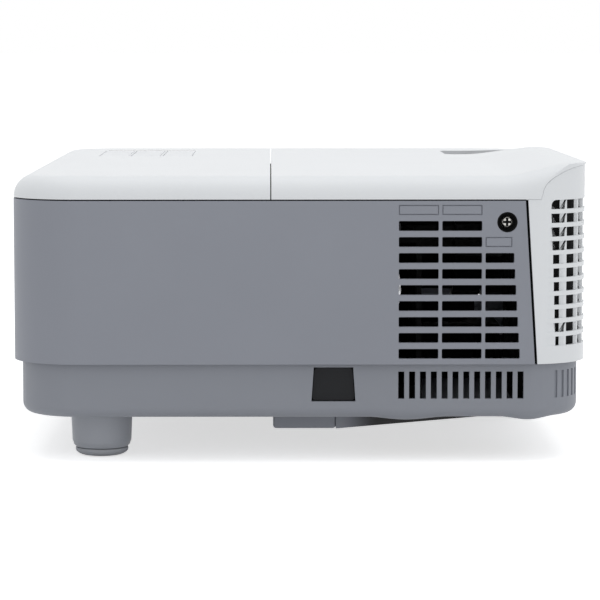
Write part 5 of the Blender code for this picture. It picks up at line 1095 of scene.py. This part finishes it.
@dataclass
class Bezel(Casing):
    """White front wall with its grid exhaust, lens port and sensor window."""

    inset: float = 0.0004
    skin: float = 0.0016
    rows: int = 11
    top_row_z: float = 0.0973
    row_pitch: float = 0.00514
    cell_height: float = 0.0035
    columns: int = 10
    first_x: float = -0.1404
    column_pitch: float = 0.0060
    cell_width: float = 0.0052
    grid_rear_y: float = -0.0900
    corner_top_y: float = -0.0940
    corner_base_y: float = -0.0959
    rib_recess: float = 0.0005
    port_radius: float = 0.0300
    lens_x: float = 0.0850
    lens_z: float = 0.0700
    hood: float = 0.0016
    hood_length: float = 0.0022
    corner: float = 0.0003

    def corner_y(self, row: int) -> float:
        """Rear edge of the first column in a row."""
        return self.corner_top_y + (self.corner_base_y - self.corner_top_y) * row / (self.rows - 1)

    def cells(self) -> list[bpy.types.Object]:
        """Tools of the grid's cells."""
        tools = []
        half = self.cell_height / 2
        corner_x = self.first_x - self.column_pitch + self.cell_width
        for row in range(self.rows):
            height = self.top_row_z - row * self.row_pitch
            low_z, high_z = height - half, height + half
            first = block("cell", (NEAR_X - OVERRUN, FRONT_Y - OVERRUN, low_z),
                          (corner_x, self.corner_y(row), high_z))
            if row == 0:
                with editing(first, "EDGE"):
                    pick_edges(lambda middle, along: abs(along.x) > 0.9 and middle.z > height
                               and middle.y > self.grid_rear_y - 2 * OVERRUN)
                    bpy.ops.mesh.bevel(offset=0.6 * self.cell_height, segments=6,
                                       affect="EDGES", profile=0.5)
            tools.append(first)
            for column in range(self.columns):
                x = self.first_x + column * self.column_pitch
                tools.append(soft_block("cell", (x, FRONT_Y - OVERRUN, low_z),
                                        (x + self.cell_width, self.grid_rear_y, high_z),
                                        self.corner, Axis.Y, 2))
        return tools

    def recesses(self) -> bpy.types.Object:
        """Tool that sets the upright ribs back from the fins in every row."""
        depth = self.inset + self.rib_recess
        half = self.cell_height / 2
        low_z = self.top_row_z - (self.rows - 1) * self.row_pitch - half
        band = rounded_block("recess", (NEAR_X + depth, FRONT_Y + depth, low_z),
                             (FAR_X - depth, REAR_Y - depth, low_z + self.cell_height),
                             self.front_radius - depth, self.rear_radius - depth)
        with editing(band):
            pick_faces(lambda centre, normal: abs(normal.z) > 0.9)
            bpy.ops.mesh.delete(type="FACE")
        apply_modifier(band, "SOLIDIFY", thickness=OVERRUN, offset=1, use_even_offset=True)
        apply_modifier(band, "ARRAY", count=self.rows, use_relative_offset=False,
                       use_constant_offset=True, constant_offset_displace=(0, 0, self.row_pitch))
        end_x = self.first_x + (self.columns - 1) * self.column_pitch + self.cell_width
        trim(band, (end_x, 0, 0), (1, 0, 0))
        drop = self.corner_base_y - self.corner_top_y
        fall = (self.rows - 1) * self.row_pitch
        slope = Vector((0, fall, -drop)).normalized()
        trim(band, (0, self.corner_top_y, self.top_row_z), slope)
        return band

    def build(self) -> list[bpy.types.Object]:
        """Make the bezel and the sensor window."""
        wall = self.tube("front_wall", self.inset, self.skin, self.rim_z + self.gap,
                         CAD_BOX[1].z + OVERRUN)
        port = (self.lens_x, self.lens_z)
        inner_y = FRONT_Y + self.inset + self.skin
        carve(wall, [rod("hood", Axis.Y, port, self.port_radius + self.hood, inner_y - BITE,
                         inner_y + self.hood_length)], Carve.JOIN)
        joint = (0, self.slant_top_y - self.bezel_gap, self.seam_z)
        trim(wall, joint, -self.slant_normal())
        carve(wall, [TopShell().curve_tool(True)])
        carve(wall, [self.recesses()])
        carve(wall, self.cells())
        low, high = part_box("remote_sensor_window")
        lap = 0.001 - self.gap
        tools = [rod("port", Axis.Y, port, self.port_radius, FRONT_Y - OVERRUN,
                     inner_y + self.hood_length + OVERRUN),
                 soft_block("sensor", (low.x + lap, FRONT_Y - OVERRUN, low.z + lap),
                            (high.x - lap, inner_y + OVERRUN, high.z - lap), 0.0015, Axis.Y)]
        carve(wall, tools)
        soften(wall, self.edge / 2)
        dress(wall, "white_shell", nodes=("front_bezel",))

        lap = 0.001
        window = soft_block("sensor_window", (low.x + lap, low.y, low.z + lap),
                            (high.x - lap, high.y, high.z - lap), 0.0013, Axis.Y)
        soften(window, self.edge)
        dress(window, "window_dark", nodes=("remote_sensor_window",))
        return [wall, window]


@dataclass
class TopShell(Casing):
    """Shape that both white covers are cut from."""

    shoulder: float = 0.0084
    swell: float = 0.0050
    swell_start_y: float = -0.076
    swell_full_y: float = -0.104
    swell_far_start_x: float = 0.010
    swell_far_end_x: float = 0.128
    sharp_start_y: float = -0.0880
    sharp_full_y: float = -0.1020
    sharp_share: float = 0.06
    joint_y: float = 0.0110
    joint_gap: float = 0.0004
    curve_start_y: float = -0.0900
    curve_end_y: float = -0.1087
    curve_gap: float = 0.0001
    lip: float = 0.0010
    curve_steps: int = 20
    lift_steps: int = 12
    curve_run_shares: tuple[float, ...] = (0, 0.06, 0.18, 0.36, 0.60, 1)
    curve_rise_shares: tuple[float, ...] = (0, 0.33, 0.55, 0.72, 0.88, 1)

    @staticmethod
    def ease(value: float, start: float, end: float) -> float:
        """Smooth share from 0 at start to 1 at end."""
        share = min(1.0, max(0.0, (value - start) / (end - start)))
        return share * share * (3 - 2 * share)

    def crest(self, x: float, y: float) -> float:
        """Height of the top skin."""
        along = self.ease(y, self.swell_start_y, self.swell_full_y)
        across = 1 - self.ease(x, self.swell_far_start_x, self.swell_far_end_x)
        return self.top_z + self.swell * along * across

    def roundness(self, y: float) -> float:
        """Share of the full shoulder drop at a place along the depth."""
        return 1 - (1 - self.sharp_share) * self.ease(y, self.sharp_start_y, self.sharp_full_y)

    def solid(self, name: str, inset: float) -> bpy.types.Object:
        """The whole top as a solid, with its shoulders and its lifted front edge.

        Args:
            name: The piece's name.
            inset: How far it lies inside the outer skin.
        """
        top = self.top_z - inset
        base = self.seam_z - (OVERRUN if inset else 0)
        made = rounded_block(name, (NEAR_X + inset, FRONT_Y + inset, base),
                             (FAR_X - inset, REAR_Y - inset, top),
                             self.front_radius - inset, self.rear_radius - inset)
        with editing(made, "EDGE"):
            pick_edges(lambda middle, along: middle.z > top - BITE / 5)
            bpy.ops.mesh.bevel(offset=self.shoulder - inset, segments=10, affect="EDGES",
                               profile=0.5)
        with editing(made):
            for number in range(self.lift_steps + 1):
                y = self.swell_start_y + (FRONT_Y - self.swell_start_y) * number / (
                    self.lift_steps + 1)
                bpy.ops.mesh.select_all(action="SELECT")
                bpy.ops.mesh.bisect(plane_co=(0, y, 0), plane_no=(0, 1, 0))
            for number in range(self.lift_steps + 1):
                reach = self.swell_far_end_x - self.swell_far_start_x
                x = self.swell_far_start_x + reach * number / self.lift_steps
                bpy.ops.mesh.select_all(action="SELECT")
                bpy.ops.mesh.bisect(plane_co=(x, 0, 0), plane_no=(1, 0, 0))
        for vert in made.data.vertices:
            if vert.co.z > self.seam_z + BITE / 5:
                drop = top - vert.co.z
                vert.co.z = (self.crest(vert.co.x, vert.co.y) - inset
                             - drop * self.roundness(vert.co.y))
        return made

    def skin(self, name: str) -> bpy.types.Object:
        """The whole top as one shell."""
        made = self.solid(name, 0)
        carve(made, [self.solid("lining", self.wall)])
        return made

    def curve_share(self, share: float) -> float:
        """Rise of the curved joint at a share of its run, smooth through its chosen points."""
        runs, rises = self.curve_run_shares, self.curve_rise_shares
        last = len(runs) - 2
        part = max(number for number in range(last + 1) if runs[number] <= share)
        slopes = []
        for number in (part, part + 1):
            before, after = max(number - 1, 0), min(number + 1, last + 1)
            slopes.append((rises[after] - rises[before]) / (runs[after] - runs[before]))
        width = runs[part + 1] - runs[part]
        t = (share - runs[part]) / width
        return ((2 * t ** 3 - 3 * t ** 2 + 1) * rises[part]
                + (t ** 3 - 2 * t ** 2 + t) * width * slopes[0]
                + (3 * t ** 2 - 2 * t ** 3) * rises[part + 1]
                + (t ** 3 - t ** 2) * width * slopes[1])

    def curve_tool(self, above: bool) -> bpy.types.Object:
        """Region above the curved joint, or below and in front of it, across the width."""
        loops = []
        front = FRONT_Y - OVERRUN
        rear = self.slant_top_y + 2 * OVERRUN
        high = CAD_BOX[1].z + 2 * OVERRUN
        shift = self.curve_gap if above else 0
        stations = 36
        for number in range(stations + 1):
            x = NEAR_X - OVERRUN + (FAR_X - NEAR_X + 2 * OVERRUN) * number / stations
            rise = self.crest(x, self.swell_full_y) - self.lip - self.seam_z
            points = []
            for step in range(self.curve_steps + 1):
                share = (step / self.curve_steps) ** 1.6
                y = self.curve_start_y + (self.curve_end_y - self.curve_start_y) * share - shift
                points.append((y, self.seam_z + rise * self.curve_share(share) - shift))
            if above:
                outline = [(rear, points[0][1])] + points
                outline += [(front, points[-1][1]), (front, high), (rear, high)]
            else:
                outline = points + [(front, points[-1][1]), (front, self.rim_z),
                                    (points[0][0], self.rim_z)]
            loops.append([(x, y, z) for y, z in outline])
        return loft("curve_tool", loops)


@dataclass
class RearCover(TopShell):
    """White cover of the rear half, with the openings of the keypad."""

    key_gap: float = 0.0003

    def build(self) -> list[bpy.types.Object]:
        """Make the cover."""
        cover = self.skin("rear_top")
        trim(cover, (0, self.joint_y + self.joint_gap / 2, 0), (0, -1, 0))
        holes = []
        for name in Keypad.names():
            low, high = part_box(name)
            slack = self.key_gap
            holes.append(soft_block("hole", (low.x - slack, low.y - slack, self.seam_z),
                                    (high.x + slack, high.y + slack, self.top_z + OVERRUN),
                                    0.0010, Axis.Z))
        low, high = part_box("indicator_window")
        lap = 0.0010 - self.gap
        holes.append(soft_block("hole", (low.x + lap, low.y + lap, self.seam_z),
                                (high.x - lap, high.y - lap, self.top_z + OVERRUN),
                                0.0010, Axis.Z))
        carve(cover, holes)
        soften(cover, self.edge / 2, angle=math.radians(30))
        dress(cover, "white_shell", nodes=("top_cover",))
        return [cover]


@dataclass
class LampCover(TopShell):
    """White cover of the front half, with the port over the lens rings."""

    port_half_width: float = 0.0200
    port_front_y: float = -0.1005
    port_rear_y: float = -0.0670
    port_corner: float = 0.0030
    skirt_wall: float = 0.0014
    skirt_drop: float = 0.0080
    lens_x: float = 0.0850
    tab_low: tuple[float, float, float] = (-0.1416, -0.0833, 0.0865)
    tab_far: tuple[float, float] = (-0.1396, -0.0713)
    tab_slot_x: tuple[float, float] = (-0.1430, -0.1380)
    tab_slot_low_z: float = 0.0800
    tab_slot_half: float = 0.0019

    def build(self) -> list[bpy.types.Object]:
        """Make the cover with its fixing tab."""
        cover = self.skin("lamp_lid")
        trim(cover, (0, self.joint_y - self.joint_gap / 2, 0), (0, 1, 0))
        carve(cover, [self.curve_tool(False)])
        wall = self.skirt_wall
        skirt = soft_block("skirt", (self.lens_x - self.port_half_width - wall,
                                     self.port_front_y - wall, self.top_z - self.skirt_drop),
                           (self.lens_x + self.port_half_width + wall, self.port_rear_y + wall,
                            self.top_z + OVERRUN), self.port_corner + wall, Axis.Z, 8)
        carve(skirt, [self.solid("outline", BITE)], Carve.KEEP)
        carve(cover, [skirt], Carve.JOIN)
        carve(cover, [soft_block("port", (self.lens_x - self.port_half_width, self.port_front_y,
                                          self.seam_z),
                                 (self.lens_x + self.port_half_width, self.port_rear_y,
                                  self.top_z + 2 * OVERRUN), self.port_corner, Axis.Z, 8)])
        tab = block("tab", self.tab_low, (*self.tab_far, self.top_z - self.wall - BITE))
        low_x, high_x = self.tab_slot_x
        half = self.tab_slot_half
        carve(tab, [block("slot", (low_x, SCREW_Y - half, self.tab_slot_low_z),
                          (high_x, SCREW_Y + half, SCREW_Z + half))])
        carve(cover, [tab], Carve.JOIN)
        soften(cover, self.edge / 2, angle=math.radians(30))
        dress(cover, "white_shell", "lamp_cover", ("lamp_cover",))
        return [cover]


@dataclass
class ShadeLinings(Casing):
    """Black linings inside the openings and a black strip behind the seam of the covers, as painted
    shade there.
    """

    thickness: float = 0.0008
    tub_inset: float = 0.0030
    shade_lining_inset: float = 0.0036
    joint_cover_y: float = -0.0832
    shade_filter_front_y: float = -0.0860
    shade_filter_rear_y: float = -0.0350
    shade_filter_low_z: float = 0.0230
    shade_filter_high_z: float = 0.0365
    intake_front_y: float = -0.0320

    def strip(self, name: str, low: Place, high: Place) -> bpy.types.Object:
        """A flat black lining with softened edges, for painted shade."""
        made = block(name, low, high)
        soften(made, self.edge / 2)
        return dress(made, "inner_black")

    def build(self) -> list[bpy.types.Object]:
        """Make the two filters, the grid corner's lining, the joint's backing and the strip behind
        the seam, all black as painted shade.
        """
        # Black sheets behind the far slots, in the place of dust filters; their black is painted
        # shade behind the slots.
        back = FAR_X - self.tub_inset - self.wall - self.gap
        tub_shade_filter = self.strip("tub_slot_shade_filter", (back - self.thickness, self.shade_filter_front_y,
                                                    self.shade_filter_low_z),
                                (back, self.shade_filter_rear_y, self.shade_filter_high_z))
        low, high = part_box("loudspeaker")
        intake_shade_filter = self.strip("intake_shade_filter", (low.x, self.intake_front_y, low.z),
                                   (high.x - self.gap, low.y - self.gap, high.z + self.gap))
        # Black lining behind the grid's near corner: painted shade inside the grid.
        shade_lining = self.tube("grid_shade_lining", self.shade_lining_inset, self.thickness, self.rim_z + 2 * BITE,
                          self.seam_z - BITE)
        trim(shade_lining, (0, self.joint_cover_y, 0), (0, 1, 0))
        trim(shade_lining, (NEAR_X + self.front_radius - self.wall, 0, 0), (1, 0, 0))
        soften(shade_lining, self.edge / 2)
        # Black strip behind the slanted joint: painted shade in the joint.
        joint_shade_back = self.strip("joint_shade_backing", (FAR_X - self.shade_lining_inset - self.thickness,
                                                  self.slant_bottom_y - 6 * BITE,
                                                  self.rim_z + 2 * BITE),
                                (FAR_X - self.shade_lining_inset, self.joint_cover_y,
                                 self.seam_z - BITE))
        # Black strip behind the seam of the covers: painted shade in the seam.
        seam_shade = self.tube("seam_shade_tongue", self.wall + self.gap, self.thickness,
                           self.seam_z - 2 * self.wall, self.seam_z + self.wall / 2)
        trim(seam_shade, (0, self.slant_top_y, 0), (0, -1, 0))
        soften(seam_shade, self.edge / 2)
        return [tub_shade_filter, intake_shade_filter, joint_shade_back, dress(shade_lining, "inner_black"),
                dress(seam_shade, "inner_black")]


@dataclass
class CoverScrew:
    """Cross-head screw in the side well."""

    head_radius: float = 0.0023
    head_length: float = 0.0019
    shank_radius: float = 0.0014
    cross_width: float = 0.0009
    cross_length: float = 0.0032
    cross_depth: float = 0.0013

    def build(self) -> list[bpy.types.Object]:
        """Make the screw."""
        low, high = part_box("lamp_cover_screw")
        seat = low.x + self.head_length
        profile = [(0, low.x)]
        steps = 6
        for step in range(1, steps + 1):
            angle = math.pi / 2 * step / steps
            profile.append((self.head_radius * math.sin(angle),
                            low.x + self.head_length * 0.6 * (1 - math.cos(angle))))
        profile += [(self.head_radius, seat), (self.shank_radius, seat),
                    (self.shank_radius, high.x), (0, high.x)]
        screw = turned("cover_screw", Axis.X, (SCREW_Y, SCREW_Z), profile)
        half, thin = self.cross_length / 2, self.cross_width / 2
        for across, up in ((half, thin), (thin, half)):
            carve(screw, [block("cross", (low.x - OVERRUN, SCREW_Y - across, SCREW_Z - up),
                                (low.x + self.cross_depth, SCREW_Y + across, SCREW_Z + up))])
        soften(screw, 0.0001)
        dress(screw, "screw_steel", "lamp_cover_screw", ("lamp_cover_screw",))
        # The cross recess is painted black: painted shade in the recess of the plated screw.
        screw.data.materials.append(FINISHES["inner_black"].material())
        with editing(screw):
            pick_faces(lambda centre, normal: centre.x > low.x + BITE / 2
                       and max(abs(centre.y - SCREW_Y), abs(centre.z - SCREW_Z)) < half
                       and centre.x < low.x + self.cross_depth + BITE / 5)
            screw.active_material_index = 1
            bpy.ops.object.material_slot_assign()
        return [screw]


@dataclass
class ScrewFeet:
    """Three screw feet with their pads."""

    top_radius: float = 0.0119
    base_radius: float = 0.0111
    leg_height: float = 0.0134
    chamfer: float = 0.0012
    stem_radius: float = 0.0040
    pad_radius: float = 0.0101
    pad_flat: float = 0.0052
    pad_height: float = 0.0030
    pivot_radius: float = 0.0025
    thread_pitch: float = 0.0020
    pivot_depth: float = 0.0038

    def leg(self, name: str) -> bpy.types.Object:
        """One leg with its seam groove and its stem."""
        low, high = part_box(name)
        centre = ((low.x + high.x) / 2, (low.y + high.y) / 2)
        top = low.z + self.leg_height
        lip = self.chamfer / 3
        deep = low.z + self.pivot_depth
        profile = [(0, deep), (self.pivot_radius + BITE, deep),
                   (self.pivot_radius + BITE, low.z), (self.base_radius - self.chamfer, low.z),
                   (self.base_radius - lip, low.z + lip * 2), (self.base_radius, low.z + lip * 5),
                   (self.base_radius + lip / 2, low.z + lip * 6),
                   (self.top_radius - lip / 2, top - 2 * lip), (self.top_radius, top - lip * 1.5),
                   (self.top_radius, top - lip / 2), (self.top_radius - lip / 2, top),
                   (self.stem_radius, top)]
        turns = int((high.z - top) / self.thread_pitch)
        for turn in range(turns):
            z = top + turn * self.thread_pitch
            profile += [(self.stem_radius - BITE, z + self.thread_pitch / 2),
                        (self.stem_radius, z + self.thread_pitch)]
        profile += [(self.stem_radius, high.z), (0, high.z)]
        made = turned(name + "_leg", Axis.Z, centre, profile)
        finish_shading(made)
        return dress(made, "foot_grey", name, (name,))

    def pad(self, name: str) -> bpy.types.Object:
        """One domed pad with its pivot."""
        low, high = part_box(name + "_pad")
        centre = ((low.x + high.x) / 2, (low.y + high.y) / 2)
        profile = [(0, 0), (self.pad_flat, 0)]
        steps = 6
        for step in range(1, steps + 1):
            angle = math.pi / 2 * step / steps
            profile.append((self.pad_flat + (self.pad_radius - self.pad_flat) * math.sin(angle),
                            self.pad_height * 0.75 * (1 - math.cos(angle))))
        profile += [(self.pad_radius, self.pad_height - BITE / 2),
                    (self.pad_radius - BITE / 2, self.pad_height),
                    (self.pivot_radius, self.pad_height), (self.pivot_radius, high.z),
                    (0, high.z)]
        made = turned(name + "_sole", Axis.Z, centre, profile)
        finish_shading(made)
        return dress(made, "pad_rubber", name + "_pad", (name + "_pad",))

    def build(self) -> list[bpy.types.Object]:
        """Make the three feet."""
        made = []
        for name in ("near_rear_foot", "far_rear_foot", "front_foot"):
            made += [self.leg(name), self.pad(name)]
        return made


@dataclass
class Keypad:
    """Twelve flush keys."""

    edge: float = 0.0002
    corner: float = 0.0008

    @staticmethod
    def names() -> list[str]:
        """Names of the key nodes."""
        return sorted(name for name in frame["nodes"] if name.endswith("_key"))

    def build(self) -> list[bpy.types.Object]:
        """Make the key caps."""
        made = []
        for name in self.names():
            low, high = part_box(name)
            cap = soft_block(name + "_cap", low, high, self.corner, Axis.Z)
            soften(cap, self.edge)
            made.append(dress(cap, "key_plastic", name, (name,)))
        return made


# Nodes of the frame that stay as they are


class CarriedNodes:
    """Nodes whose shape stays, dressed by the record's slots."""

    def build(self) -> list[bpy.types.Object]:
        """Give each node that still shows its finish."""
        slots = {part["node"]: part["material_slot"] for part in frame["record"]["subparts"]}
        shown = []
        for name, piece in frame["nodes"].items():
            if piece.hide_render:
                continue
            piece.data.materials.clear()
            piece.data.materials.append(FINISHES[slots[name]].material())
            shown.append(piece)
        return shown


# Studio


@dataclass
class Studio:
    """Floor, soft light and the camera of the photograph."""

    camera_place: tuple[float, float, float] = (-1.197, 0.0113, 0.1574)
    pitch: float = math.radians(5.2)
    turn: float = math.radians(0.61)
    focal_pixels: float = 2821.0
    picture_pixels: float = 600.0
    sensor: float = 36.0
    ambient: float = 0.60
    floor_size: float = 80.0
    floor_glow: float = 0.62

    def camera(self) -> None:
        """Place the camera where the photograph was taken."""
        data = bpy.data.cameras.new("photo_camera")
        data.sensor_width = self.sensor
        data.lens = self.focal_pixels / self.picture_pixels * self.sensor
        data.clip_start = 0.01
        made = bpy.data.objects.new("photo_camera", data)
        made.location = self.camera_place
        made.rotation_euler = (math.pi / 2 - self.pitch, 0, -math.pi / 2 - self.turn)
        bpy.context.scene.collection.objects.link(made)
        bpy.context.scene.camera = made

    def seen_mask(self, sheet: NodeSheet) -> bpy.types.NodeSocket:
        """1 for rays that show the background: from the camera, a gloss or through glass."""
        path = sheet.add("ShaderNodeLightPath")
        first = sheet.add("ShaderNodeMath", operation="MAXIMUM")
        sheet.link(path.outputs["Is Camera Ray"], first.inputs[0])
        sheet.link(path.outputs["Is Glossy Ray"], first.inputs[1])
        second = sheet.add("ShaderNodeMath", operation="MAXIMUM")
        sheet.link(first.outputs[0], second.inputs[0])
        sheet.link(path.outputs["Is Transmission Ray"], second.inputs[1])
        return second.outputs[0]

    def world(self) -> None:
        """Even ambient light, white where it shows."""
        made = bpy.data.worlds.new("studio_world")
        made.use_nodes = True
        bpy.context.scene.world = made
        sheet = NodeSheet(made.node_tree)
        lit = made.node_tree.nodes["Background"]
        lit.inputs["Color"].default_value = (0.97, 0.985, 1, 1)
        lit.inputs["Strength"].default_value = self.ambient
        shown = sheet.add("ShaderNodeBackground")
        shown.inputs["Color"].default_value = (1, 1, 1, 1)
        shown.inputs["Strength"].default_value = 1.0
        mix = sheet.add("ShaderNodeMixShader")
        sheet.link(self.seen_mask(sheet), mix.inputs["Fac"])
        sheet.link(lit.outputs[0], mix.inputs[1])
        sheet.link(shown.outputs[0], mix.inputs[2])
        sheet.link(mix.outputs[0], made.node_tree.nodes["World Output"].inputs["Surface"])

    def floor(self) -> None:
        """Pale floor that shows white and keeps the shadow."""
        bpy.ops.object.select_all(action="DESELECT")
        bpy.ops.mesh.primitive_plane_add(size=self.floor_size, location=(0, 0, -BITE / 5))
        plane = settle_place(bpy.context.active_object, "studio_floor")
        paint = bpy.data.materials.new("floor_white")
        paint.use_nodes = True
        sheet = NodeSheet(paint.node_tree)
        plain = sheet.add("ShaderNodeBsdfDiffuse")
        plain.inputs["Color"].default_value = (0.88, 0.88, 0.88, 1)
        glow = sheet.add("ShaderNodeEmission")
        glow.inputs["Strength"].default_value = self.floor_glow
        both = sheet.add("ShaderNodeAddShader")
        sheet.link(plain.outputs[0], both.inputs[0])
        sheet.link(glow.outputs[0], both.inputs[1])
        mix = sheet.add("ShaderNodeMixShader")
        sheet.link(self.seen_mask(sheet), mix.inputs["Fac"])
        sheet.link(plain.outputs[0], mix.inputs[1])
        sheet.link(both.outputs[0], mix.inputs[2])
        sheet.link(mix.outputs[0], paint.node_tree.nodes["Material Output"].inputs["Surface"])
        plane.data.materials.append(paint)

    def lamp(self, name: str, place: Place, size: float, power: float) -> None:
        """A square soft light that faces the object."""
        data = bpy.data.lights.new(name, "AREA")
        data.size = size
        data.energy = power
        made = bpy.data.objects.new(name, data)
        made.location = place
        away = Vector(place) - Vector((0, 0, self.camera_place[2] / 3))
        made.rotation_euler = away.to_track_quat("Z", "Y").to_euler()
        bpy.context.scene.collection.objects.link(made)

    def build(self) -> None:
        """Set the scene up."""
        bpy.context.scene.view_settings.view_transform = "Standard"
        self.camera()
        self.world()
        self.floor()
        self.lamp("overhead", (0, 0, 1.6), 1.6, 8.0)
        self.lamp("front_left", (-1.2, -0.9, 0.8), 1.2, 2.0)


def main() -> None:
    """Build every sub-assembly in order, dress what stays and set the studio up."""
    logging.basicConfig(level=logging.INFO, format="%(name)s: %(message)s")
    assemblies = (LowerCase(), SideWall(), Bezel(), RearCover(), LampCover(), ShadeLinings(),
                  CoverScrew(), ScrewFeet(), Keypad(), CarriedNodes())
    for assembly in assemblies:
        pieces = assembly.build()
        LOG.info("%s: %d pieces", type(assembly).__name__, len(pieces))
    Studio().build()


if __name__ == "__main__":
    main()
